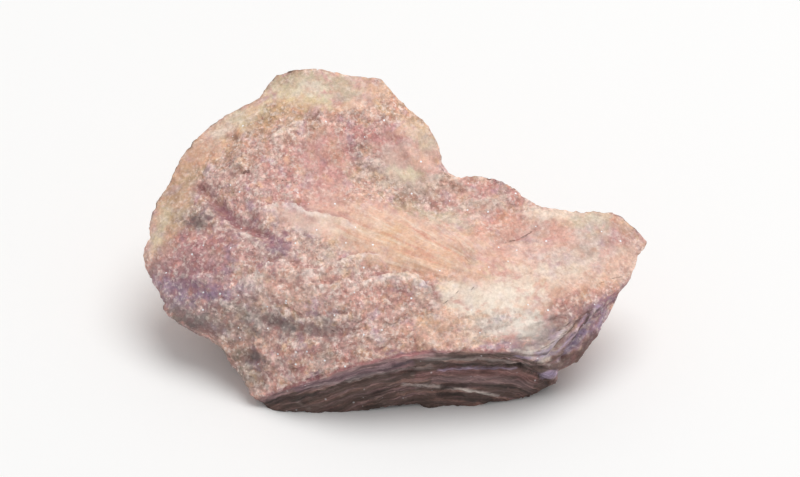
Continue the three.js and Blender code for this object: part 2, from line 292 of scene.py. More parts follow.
def mark_worn(piece):
    """A vertex group over the worn spots of the display face."""
    u, v, _ = on_face(read_vectors(piece.data.vertices, "co") / MM).T
    facing = read_vectors(piece.data.vertices, "normal") @ FACE_OUT
    worn = np.zeros(len(u))
    for _, middle, reach, turn in WORN_SPOTS:
        worn = np.maximum(worn, ease(*WORN_FADE, oval_of(middle, reach, turn, u, v)))
    worn *= ease(*WORN_FACING, facing)
    group = piece.vertex_groups.new(name="worn")
    for index in np.flatnonzero(worn > 0).tolist():
        group.add([index], worn[index], "REPLACE")


def read_vectors(collection, field):
    values = np.empty(len(collection) * 3)
    collection.foreach_get(field, values)
    return values.reshape(-1, 3)


# ---- The stone's lie: its face, flanks, layers and calm places ----

# The crest that parts the display face from the front flank.
CREST = [
    (-33, -35.2), (-28, -32.9), (-17, -29.6), (-10, -26.7), (-2, -24.8), (3, -23.4), (8, -22.9),
    (18, -23), (26, -23), (31, -23.9), (35, -25.8), (40, -27.6), (43, -27), (47, -25.4), (56, -22),
]

# How squarely a place faces out of the display face, from -1 to 1.
SEEN = (0.0, 0.3)  # it belongs to the display face
WRAPPED = (-0.65, -0.2)  # the face's minerals still run on round the rim
FACE_ON = (0.15, 0.5)  # it is no flank
RIM = (0.5, 0.1)  # it is edge on, on either side
RIM_WANDER = 0.12  # how far the first two shift to and fro
RIM_LUMP = 3

# Waves that shift places sideways, so that lines and ovals come out ragged: how far, lump, seed.
DRIFT = [(1.1, 5, 31), (0.5, 1.8, 33), (0.25, 0.9, 35)]
SPREAD = [(1.3, 7, 41), (0.9, 2.2, 43), (0.45, 0.9, 45)]

# The layers lean against the display face, and swell: how high, lump, seed.
LAYER_LEAN_U = 0.03
LAYER_LEAN_V = 0.31
LAYER_SWELLS = [(1.6, 14, 3), (0.5, 4, 4)]

# The pale ridge, and where its silky lines fan out from.
RIDGE = ((2, 4), (22, 8.5), -14)
RIDGE_FADE = (1.15, 0.55)
FAN_MIDDLE = (38, -12.5)
FAN_RADIUS = 35

# Where the rock is silky or weathered and not sugary: name, middle, half lengths, turn, strength.
CALM_SPOTS = [
    ("pale ridge", (2, 4), (24, 8.5), -14, 0.9), ("cream swell", (24, -10), (15, 4.5), 0, 0.93),
    ("crown", (-18, 42), (17, 6), 0, 0.7), ("wing", (42, 1), (24, 13), 5, 0.68),
    ("wing root", (20, 13), (9, 6), 0, 0.4), ("rim", (-57, 12), (5, 16), -20, 0.6),
    ("rim top", (-44, 32), (15, 4.5), 38, 0.6), ("upper lobe", (4, 26), (9, 8), -30, 0.72),
    ("upper middle", (-18, 22), (8, 11), 0, 0.55), ("upper tongue", (-22, 9), (10, 3.5), -10, 0.7),
    ("valley", (4, 18), (11, 5), -15, 0.2), ("low right", (17, -18), (14, 5), 0, 0.4),
    ("grey end", (36, -20), (9, 7), 0, 0.8),
]
CALM_FADE = (1.3, 0.6)
SUGAR_LEAST = 0.05

GRAIN_SIZE = 1.3


class Stone:
    """The stone's mesh, with what is worked out for every vertex of it."""

    def __init__(self, piece):
        self.mesh = piece.data
        self.points = read_vectors(self.mesh.vertices, "co") / MM
        self.normals = read_vectors(self.mesh.vertices, "normal")
        self.u, self.v, self.w = on_face(self.points).T
        self.facing = self.normals @ FACE_OUT
        turned = self.facing + RIM_WANDER * swell(self.points, RIM_LUMP, seed=55)
        self.seen = ease(*SEEN, turned)
        self.wrapped = ease(*WRAPPED, turned)
        self.flank = 1 - ease(*FACE_ON, self.facing)
        self.drift = self.wander(DRIFT)
        self.sugar = self.sugar_of()
        self.layer = self.layer_of()
        self.near_grain, self.grain_shade = grains(self.points, GRAIN_SIZE, seed=13)
        # How far it is pushed out, broadly and finely.
        self.push = np.zeros(len(self.points))
        self.relief = np.zeros(len(self.points))

    def wander(self, waves):
        """A smooth sideways shift for each vertex."""
        return sum(
            far * np.stack([swell(self.points, size, seed), swell(self.points, size, seed + 1)], 1)
            for far, size, seed in waves
        )

    def wavy(self, share_u, share_v):
        """u and v with a share of the drift, so that straight lines over them come out wavy."""
        return self.u + share_u * self.drift[:, 0], self.v + share_v * self.drift[:, 1]

    def sugar_of(self):
        """How sugary the rock is."""
        sugar = np.ones(len(self.points))
        for _, middle, reach, turn, strength in CALM_SPOTS:
            sugar -= strength * ease(*CALM_FADE, oval_of(middle, reach, turn, self.u, self.v)) * self.seen
        return np.clip(sugar, SUGAR_LEAST, 1)

    def layer_of(self):
        """Height through the stone's layers."""
        swells = sum(high * swell(self.points, size, seed) for high, size, seed in LAYER_SWELLS)
        return self.w + LAYER_LEAN_V * self.v - LAYER_LEAN_U * self.u + swells

    def fan(self):
        """Lines that fan out of the right hand end of the pale ridge, as places to take noise at."""
        off_u, off_v = self.u - FAN_MIDDLE[0], self.v - FAN_MIDDLE[1]
        return flat(np.arctan2(off_v, -off_u) * FAN_RADIUS, np.hypot(off_u, off_v))

    def on_rim(self):
        """The stone's rim as seen square-on to the display face."""
        return ease(*RIM, np.abs(self.facing))

    def on_ridge(self):
        return self.seen * ease(*RIDGE_FADE, oval_of(*RIDGE, self.u, self.v))

    def below_crest(self):
        crest_us, crest_vs = zip(*CREST)
        return np.interp(self.u, crest_us, crest_vs) - self.v


# ---- Carving ----

# Torn edges: the layer below each line stands proud of the one above it. Name, line, step, and how pale the
# broken edge is painted, partly its own pale crystals and partly painted highlight where the step catches
# the light.
LEDGES = [
    ("upper ledge",
     [(-34.5, 12.3), (-28, 12.9), (-24, 12.7), (-21, 10.8), (-17, 10.6), (-12, 9)], 1.5, 0.9),
    ("left ledge", [(-40, -6.8), (-37, -5), (-33, -3.5), (-31.7, -2), (-29, -1)], 1.3, 0.9),
    ("knuckle ledge",
     [(-24, -3), (-20, -3.2), (-16.3, -2.6), (-13.3, -0.9), (-9, -0.4), (-4.5, 0.3)], 1.5, 0.8),
    ("middle ledge",
     [(-19, -7), (-12.8, -6.6), (-8, -6.6), (-4.5, -5.6), (-2, -4.9), (4, -4.9), (8, -7.5),
      (10.5, -11)], 1.6, 0.95),
    ("lower ledge", [(-30, -13), (-24, -15.5), (-18, -15), (-12, -14.4)], 0.8, 0.4),
    ("cream ledge", [(18, -5.6), (25, -6), (33, -5.6), (41, -4.6)], 0.5, 0.3),
    ("shoulder ledge", [(-46, 20), (-40, 24), (-33, 30), (-27, 33)], 0.8, 0.4),
    ("wing ledge", [(12, 12), (20, 14.5), (27, 13)], 0.7, 0.3),
    ("ridge brow",
     [(-10, 17.5), (-4, 15), (1, 11.8), (6, 9.2), (11, 7.5), (14, 5.6), (18.7, -1.8)], 1.1, 0),
    ("groove bank", [(-44, 10), (-38, 6), (-33, 3.6)], 0.8, 0.6),
    ("left lobe ledge", [(-58, -4), (-52, -5), (-47, -4)], 0.6, 0.4),
    ("left low ledge", [(-43, -11.5), (-38, -12.5), (-35, -15), (-30, -19)], 0.7, 0.5),
    ("keel ledge", [(-26, -22), (-18, -21), (-10, -19.5), (-2, -19)], 0.6, 0.5),
]
LEDGE_WAVE = (1.0, 1.0)  # shares of the drift
LEDGE_EDGE = 0.3  # half the slope's width
LEDGE_FADE = 5
LEDGE_HOLLOW = 0.35  # a share of the step
HOLLOW_FADE = 2
LEDGE_END = 1.5

# Furrows: name, line, half width, depth, and the mineral that lines them with its strength.
FURROWS = [
    ("dark groove", [(-50, 17.4), (-44.4, 11.4), (-38, 7.4), (-32.4, 4.6)], 1.1, 0.9, "wine", 0.45),
    ("wing crack",
     [(25.7, 2.5), (27.8, 3.5), (31.2, 4.2), (33.2, 5.2), (35.4, 6.6)], 0.4, 0.3, "wine", 0.3),
    ("lobe crease", [(-12.5, 29), (-10.5, 24), (-8.5, 19)], 1.2, 0.4, "mauve", 0.25),
    ("grey seam", [(-33, -16), (-28, -17.5), (-22, -19), (-16, -20)], 1.2, 0.5, "charcoal", 0.3),
    # The slab and fold grooves and the fold's strips are lined dark, partly as painted shade in them.
    ("slab groove",
     [(8, -27.2), (16, -27.6), (24, -27.7), (31, -27.6), (37, -28.2)], 0.5, 0.6, "umber", 0.6),
    ("fold groove", [(31, -27.9), (35, -30), (39, -32.6)], 0.5, 0.9, "umber", 0.8),
    ("fold strip 1", [(39, -24.5), (43, -19.5), (46, -16.5), (50, -13.5)], 0.6, 0.9, "brown", 0.6),
    ("fold strip 2", [(42, -26), (45, -21.5), (48, -18), (51, -14.6)], 0.6, 1.0, "umber", 0.7),
    ("fold strip 3", [(34, -22.5), (38, -20.5), (42, -17.2)], 0.5, 0.5, "grey", 0.4),
    ("arc", [(-24.7, 23.8), (-23, 20), (-22.5, 15)], 0.5, 0.4, "tan", 0.3),
]
FURROW_WAVE = (0.4, 0.4)

# Small pits: name, middle, radius and depth.
PITS = [
    ("wing pit", (18.4, -2.9), 0.7, 0.8), ("keel pit", (-25.5, -28.6), 0.9, 0.9),
    ("crown pit", (-20.5, 34.6), 0.9, 0.8), ("rim pit", (-41.8, 30.2), 1.1, 0.9),
    ("rim pit 2", (-38, 31), 0.7, 0.6), ("rim pit 3", (-32.6, 34.2), 0.7, 0.7),
    ("rim pit 4", (-34.4, 35.4), 0.6, 0.5), ("rim pit 5", (-36.6, 32.2), 0.6, 0.5),
    ("corner pit", (-36.5, -26.2), 1.8, 1.0), ("corner pit 2", (-34.8, -30), 1.4, 0.8),
    ("left pit", (-39, 21.5), 0.9, 0.7), ("left pit 2", (-42.4, 24.4), 0.8, 0.6),
    ("ridge pit", (16.7, 0.3), 0.6, 0.5), ("seam pit", (-31.5, -16.6), 1.4, 0.5),
]

# Edges of layers: spacing, depth, and whether they are kept off the display face.
TREADS = [(6.1, 0.85, True), (2.3, 0.55, False), (0.95, 0.3, False)]
TREAD_RUN = 0.75  # the share of a tread that rises, before it drops
TREAD_PATCH = 9
TREAD_BREAK = 0.35
TREAD_FACE_ON = 0.08  # what is left of a tread off the flanks

# The ridge's comb, with the width and length of its lines, then lumps, crumbs and sugary grains.
COMB_LINE = (1.9, 13)
COMB_HEIGHT = 0.7
LUMP_SIZE = 6
LUMP_HEIGHT = 0.45
CRUMB_SIZE = 2.6
CRUMB_HEIGHT = 0.42
GRAIN_HEIGHT = 0.28
GRAIN_LEVEL = 0.42  # how far out in a grain its surface is level with the rock's
GRAIN_UNEVENNESS = 0.6
RIM_SWELL = 0.18

# The lowest layers are broken off short at the right: v, and the u they end at. What lies past that
# is drawn back by this share.
BROKEN_END = [
    (-37.2, 29.5), (-34, 36.8), (-32.4, 40.2), (-28.6, 41), (-27.4, 45.5), (-26, 47), (-24, 70),
]
BROKEN_BACK = 0.9


def tear_ledges(stone):
    """Lifts the layer below each ledge's line, with a hollow along the line."""
    u, v = stone.wavy(*LEDGE_WAVE)
    for _, line, step, _ in LEDGES:
        _, above, beyond = run_of(line, u, v)
        lift = ease(-LEDGE_EDGE, LEDGE_EDGE, -above) * np.exp(-np.abs(above) / LEDGE_FADE)
        lift -= LEDGE_HOLLOW * np.exp(-np.abs(above) / HOLLOW_FADE)
        stone.push += stone.seen * step * lift * np.exp(-beyond / LEDGE_END)


def cut_furrows_and_pits(stone):
    u, v = stone.wavy(*FURROW_WAVE)
    for _, line, width, depth, _, _ in FURROWS:
        distance, _, _ = run_of(line, u, v)
        stone.push -= stone.seen * depth * mound(distance, width)
    u, v = stone.wavy(*LEDGE_WAVE)
    for _, (pit_u, pit_v), radius, depth in PITS:
        stone.push -= stone.seen * depth * mound(np.hypot(u - pit_u, v - pit_v), radius)


def step_layers(stone):
    """The layers' edges: thin steps along the flanks, and broad ragged treads off the display face."""
    for spacing, depth, off_face in TREADS:
        turn = stone.layer / spacing
        tooth = turn - np.floor(turn)
        tread = ease(0, TREAD_RUN, tooth) - ease(TREAD_RUN, 1, tooth) - 0.5
        keep = ease(-TREAD_BREAK, TREAD_BREAK, swell(stone.points, TREAD_PATCH, seed=5 + spacing))
        reach = depth * (1 - stone.seen) if off_face else depth
        stone.push += reach * (TREAD_FACE_ON + (1 - TREAD_FACE_ON) * stone.flank) * keep * tread


def raise_grain(stone):
    """Combs the ridge, and raises lumps, crumbs and a sugary grain."""
    comb = rubble(stone.fan() / [*COMB_LINE, 1], 1, seed=8)
    stone.relief += COMB_HEIGHT * comb * stone.on_ridge()
    stone.push += LUMP_HEIGHT * rubble(stone.points, LUMP_SIZE, seed=11)
    crumbs = rubble(stone.points, CRUMB_SIZE, seed=12)
    humps = GRAIN_LEVEL - stone.near_grain + GRAIN_UNEVENNESS * stone.grain_shade
    stone.relief += stone.sugar * (CRUMB_HEIGHT * crumbs + GRAIN_HEIGHT * humps)


def carve(stone):
    """Tears, cuts and grains the stone, and keeps it inside the CAD box."""
    tear_ledges(stone)
    cut_furrows_and_pits(stone)
    step_layers(stone)
    raise_grain(stone)
    lift = stone.push + stone.relief + RIM_SWELL * stone.on_rim()
    moved = stone.points + stone.normals * lift[:, None]
    broken = np.maximum(stone.u - np.interp(stone.v, *zip(*BROKEN_END)), 0)
    moved[:, 0] -= BROKEN_BACK * broken
    low, high = np.array(CAD_BOX) / MM
    stone.mesh.vertices.foreach_set("co", (np.clip(moved, low, high) * MM).ravel())
    stone.mesh.update()


# ---- The minerals, with painted light and shade ----

# Colours as seen: red, green and blue up to 255.
MINERALS = {
    "rose": (222, 181, 171),
    "deep rose": (211, 157, 153),
    "coral": (214, 142, 124),
    "pale pink": (232, 200, 187),
    "salmon": (232, 184, 164),
    "peach": (236, 196, 172),
    "honey": (224, 182, 136),
    "milk": (252, 238, 222),
    "cream": (242, 223, 204),
    "straw": (229, 219, 186),
    "bone": (235, 213, 200),
    "chalk": (230, 220, 210),
    "tan": (208, 174, 146),
    "olive": (170, 152, 124),
    "grey green": (216, 200, 178),
    "grey": (160, 147, 143),
    "charcoal": (106, 96, 95),
    "mauve": (160, 128, 130),
    "purple": (126, 96, 126),
    "lilac": (186, 168, 198),
    "brown": (140, 106, 96),
    "umber": (92, 74, 68),
    "black": (50, 41, 38),
    "frost": (245, 228, 219),
    "wine": (158, 102, 104),
    # spark is a painted glint, not a mineral
    "spark": (252, 252, 255),
}

# The curve from a colour as seen to a colour as light.
CURVE_FOOT = 0.055
CURVE_POWER = 2.4

# The minerals that make the rock's ground, under the others.
GROUND = ("deep rose", "pale pink", "salmon", "peach", "tan", "wine")

# Patches on the display face: mineral, middle, half lengths along and across, turn, strength.
FIRST_COATS = [
    ("deep rose", (-17.5, 26), (9, 10), 0, 0.55), ("deep rose", (-28, 16), (8, 7), 0, 0.3),
    ("deep rose", (-52, -2), (9, 7), -10, 0.6), ("deep rose", (-44, 1), (9, 7), 0, 0.5),
    ("wine", (-52, -3), (10, 6), -10, 0.3), ("wine", (-44, 0), (8, 5), 0, 0.2),
    ("salmon", (-15, 13), (8, 5), 0, 0.4),
    # the weathered rim
    ("tan", (-57, 7), (4.5, 8), -20, 0.8), ("tan", (-54, 18), (4.5, 9), -25, 0.8),
    ("brown", (-57.5, 14), (1.8, 4.5), -20, 0.5), ("olive", (-56, 9), (2, 3), -20, 0.4),
    ("coral", (-50, 26), (3, 5), -35, 0.3), ("tan", (-46, 29), (8, 3.6), 42, 0.75),
    ("tan", (-36, 36), (9, 4), 25, 0.8), ("cream", (-60.5, 3), (2, 5), -15, 0.6),
    ("cream", (-44, 32), (5, 2), 35, 0.5), ("tan", (-27, 36.5), (8, 3), 12, 0.75),
    ("olive", (-33, 36), (5, 1.8), 25, 0.4), ("olive", (-51, 20), (3.6, 1.6), 45, 0.5),
    ("cream", (-28, 32), (2.6, 1.6), 35, 0.7), ("brown", (-41.5, 30.2), (1.6, 0.8), -20, 0.8),
    ("brown", (-34, 32), (1.6, 0.7), 0, 0.5), ("brown", (-39, 21.5), (2, 0.9), 10, 0.6),
    ("brown", (-43.5, 17.5), (1.8, 0.9), 40, 0.5), ("tan", (-39, 25.5), (4.5, 2.5), 15, 0.6),
    ("tan", (-33, 24), (3, 2), 0, 0.3),
    # the crown
    ("straw", (-22.8, 42.2), (6.6, 3.8), 0, 0.85), ("chalk", (-22, 42.6), (4, 2), 0, 0.5),
    ("straw", (-29, 42.6), (3, 3), 40, 0.45), ("olive", (-24, 45.8), (7, 1.0), 0, 0.45),
    ("grey green", (-12.5, 43), (3, 2.6), 0, 0.85), ("tan", (-8.5, 41), (5, 4), 0, 0.4),
    ("salmon", (-4, 42), (4, 3), 0, 0.5), ("brown", (-20.4, 34.6), (1.2, 0.9), 0, 0.7),
    ("peach", (-10, 37), (8, 2.5), -5, 0.6), ("grey green", (-2, 37), (4, 1.6), 0, 0.4),
    # the upper right lobe
    ("deep rose", (0, 30.6), (10, 2.6), -6, 0.85), ("deep rose", (-1, 28.5), (7, 2.2), -5, 0.8),
    ("wine", (-2, 29.4), (6, 1.6), -8, 0.3), ("cream", (5.4, 32), (4.5, 2), -40, 0.55),
    ("grey green", (8.6, 29.6), (3, 2), -50, 0.7), ("pale pink", (0.5, 25.6), (5.5, 2), 0, 0.75),
    ("salmon", (6, 22.5), (6, 2), 0, 0.6), ("mauve", (-11, 27.6), (1.4, 3.5), 25, 0.3),
    ("mauve", (-8.5, 21), (1.2, 3), 10, 0.1),
    # the valley
    ("grey green", (0, 18.6), (9, 2.8), -12, 0.75), ("olive", (2.5, 13.3), (4.5, 1.6), -32, 0.6),
    ("grey green", (12, 9.4), (6.5, 1.8), -14, 0.8), ("olive", (11, 10.4), (3, 1), -10, 0.5),
    ("brown", (8.5, 15.6), (6.5, 2.4), -8, 0.25), ("deep rose", (12, 14.5), (4, 1.8), 0, 0.5),
    ("deep rose", (20.5, 17.6), (6.5, 2.2), 5, 0.65), ("grey green", (23, 13), (4, 1.5), 15, 0.6),
    ("mauve", (27, 12.6), (4, 1.5), 0, 0.25), ("deep rose", (30.5, 14.4), (3, 2.5), -40, 0.4),
    ("salmon", (26.5, 7.6), (7.5, 2.8), 5, 0.65), ("salmon", (40, 5.2), (8, 3), 0, 0.6),
    # the wing
    ("cream", (41, 10.2), (6, 1.6), -6, 0.7), ("grey green", (49.3, 8.6), (4.2, 2.6), 0, 1.0),
    ("cream", (49.8, 8), (1.5, 1.1), 0, 0.6), ("deep rose", (52.5, 5.6), (3, 2), 30, 0.5),
    ("mauve", (50.5, 2.8), (5.5, 1.4), 15, 0.35), ("mauve", (60, 3.4), (2.5, 2.5), 0, 0.3),
    ("chalk", (44, -1), (7, 2.6), 10, 0.5), ("cream", (36.5, -4.4), (8, 1.8), 0, 0.6),
    ("cream", (46, -2.6), (7, 1), 12, 0.5), ("salmon", (27, -0.6), (7, 2.2), 0, 0.5),
    ("salmon", (52, -5.4), (8, 3), 20, 0.5), ("salmon", (38, -8.6), (7, 2.4), 0, 0.5),
    ("brown", (41, -10), (5, 2), 10, 0.12), ("deep rose", (26, -2.9), (1, 0.7), 0, 0.8),
    ("grey", (18.6, -0.4), (1.8, 1.2), -40, 0.5),
    # the pale ridge
    ("peach", (2, 4.4), (20, 5.6), -14, 0.95), ("peach", (-8, 9.6), (10, 3), -24, 0.8),
    ("peach", (13, -2.4), (9, 3), -20, 0.7), ("salmon", (0, 8.6), (7, 1), -26, 0.4),
    ("salmon", (10, -0.6), (9, 1), -16, 0.4), ("cream", (-16, -1), (4.5, 1.4), 10, 0.6),
    ("grey", (-11, -3.6), (5, 1.6), -4, 0.4), ("grey", (-16, 2.2), (4.5, 1), 0, 0.4),
    # below the upper ledge
    ("pale pink", (-28, 11.4), (6.5, 1.5), 0, 0.85), ("pale pink", (-17, 8.8), (5.5, 1.5), -10, 0.85),
    ("cream", (-19, 9.6), (3, 0.8), -20, 0.5), ("pale pink", (-24, 8), (6, 2.4), -15, 0.4),
    ("cream", (-14.5, 7.4), (3, 1.2), 0, 0.5),
    # the dark groove and its mauve
    ("mauve", (-47.4, 14.8), (4, 1.8), -42, 0.75), ("mauve", (-42.2, 10.4), (4.5, 1.8), -35, 0.8),
    ("mauve", (-36.6, 7), (4, 1.4), -28, 0.65), ("mauve", (-32, 5.4), (3, 1), -45, 0.5),
    ("purple", (-43, 10.8), (2, 0.8), -35, 0.5), ("umber", (-36.4, 7), (1.8, 0.8), -30, 0.15),
    ("purple", (-29, 2.4), (2.8, 1.8), -30, 0.6), ("grey", (-29, 0.4), (4, 1.4), -10, 0.6),
    ("grey", (-38, 4.4), (4.5, 1.4), -35, 0.35), ("grey", (-50.5, 9), (3.6, 3), 0, 0.6),
    ("charcoal", (-51, 8.4), (3.2, 1.6), 0, 0.9), ("grey green", (-54, 10.6), (2, 1.6), 0, 0.5),
    ("grey green", (-50.5, 6.8), (2, 1), 0, 0.4),
    # the left lobe
    ("purple", (-52, -8), (5, 1.6), -20, 0.5), ("purple", (-46, -9.8), (4.5, 1.6), 8, 0.7),
    ("lilac", (-47.5, -10), (3, 0.8), 8, 0.4), ("mauve", (-56, -10), (3.5, 2.4), -20, 0.6),
    ("grey", (-52, -13), (4.5, 1.6), -15, 0.5), ("mauve", (-45, -12.6), (5, 1.4), 0, 0.4),
    ("charcoal", (-51, -16.2), (5, 1.5), -20, 0.8), ("charcoal", (-45, -17.4), (4, 1.4), -10, 0.7),
    ("tan", (-56.5, -4.5), (2.4, 1.5), 0, 0.4), ("olive", (-57.5, 2.2), (4, 1), 0, 0.4),
    ("grey green", (-43, -13), (2, 1.6), 10, 0.6), ("olive", (-42, -15.6), (2.4, 2), 0, 0.5),
    # below the left ledge
    ("pale pink", (-35.5, -5.8), (4, 1.1), 20, 0.7), ("pale pink", (-31, -5.6), (5, 2.6), 10, 0.45),
    ("grey green", (-31, -8.8), (5, 1.3), 0, 0.15), ("mauve", (-37.5, -10.6), (3, 1.6), 0, 0.2),
    ("charcoal", (-30.8, -16.8), (4.6, 1.5), -16, 0.6), ("charcoal", (-25, -18.2), (3, 1.1), -22, 0.4),
    ("charcoal", (-19, -16.4), (5, 1.2), 0, 0.4), ("olive", (-26, -16), (3, 1), 0, 0.5),
    ("lilac", (-26, -17.8), (1.6, 0.6), -20, 0.4), ("mauve", (-15, -18.6), (6, 2), 0, 0.35),
    ("olive", (-38, -15), (3, 2.4), 0, 0.4), ("olive", (-35.5, -18.4), (3.6, 1.2), 0, 0.35),
    ("mauve", (-37.5, -21), (3, 1.4), 0, 0.5), ("charcoal", (-36.4, -26), (3.6, 1.7), -8, 0.85),
    ("grey green", (-36.4, -29.4), (2.4, 2.2), 0, 0.75), ("charcoal", (-34, -30.6), (1.2, 1.8), 30, 0.6),
    ("brown", (-25.6, -28.6), (1, 0.8), 0, 0.8), ("olive", (-17, -23.4), (2.4, 1.6), 0, 0.45),
    # below the middle ledge
    ("pale pink", (-15, -8.2), (5, 1.1), 0, 0.8), ("pale pink", (-6, -7.4), (4.4, 1.1), 8, 0.85),
    ("bone", (0, -6.2), (4, 1), 5, 0.8), ("bone", (6, -7.8), (3, 1.1), -45, 0.7),
    ("mauve", (4.5, -9.8), (5.5, 2), -16, 0.75), ("mauve", (-4, -9.4), (3.5, 1.4), 0, 0.45),
    ("deep rose", (-8, -13), (10, 3), 0, 0.45), ("mauve", (0, -12.6), (3, 1), 0, 0.35),
    ("pale pink", (8, -14), (5, 1.4), 0, 0.45), ("deep rose", (-20, -24), (8, 4), 10, 0.45),
    # the cream swell and the grey-white end
    ("cream", (22, -9.4), (11, 3.2), 0, 0.95), ("cream", (13.6, -8.6), (3.4, 2.8), 0, 0.75),
    ("grey", (14, -10.6), (2.4, 0.5), 38, 0.4), ("lilac", (20, -7.6), (1.4, 0.4), 45, 0.35),
    ("peach", (30, -12.6), (9, 2), 0, 0.6), ("cream", (21, -18), (5, 3), 0, 0.5),
    ("chalk", (25, -17), (4, 2.4), 0, 0.6), ("chalk", (33, -17.8), (4.6, 2.8), 0, 0.9),
    ("grey", (36.5, -19), (3.6, 2.4), 25, 0.7), ("grey", (35, -23.4), (5, 1.5), 10, 0.7),
    ("lilac", (26.4, -23), (4.4, 0.8), 0, 0.6), ("mauve", (27, -24.4), (6, 0.7), 0, 0.6),
    ("salmon", (12, -17), (7, 4), 0, 0.3), ("purple", (0.6, -24.4), (2.8, 1.1), -10, 0.85),
    ("lilac", (4, -24.5), (1.4, 0.7), 0, 0.5), ("cream", (-4.6, -25.2), (2.4, 0.6), 8, 0.6),
    ("purple", (-19.6, -30.4), (2, 0.9), 25, 0.75), ("purple", (10, -24.2), (3, 0.6), 0, 0.5),
]

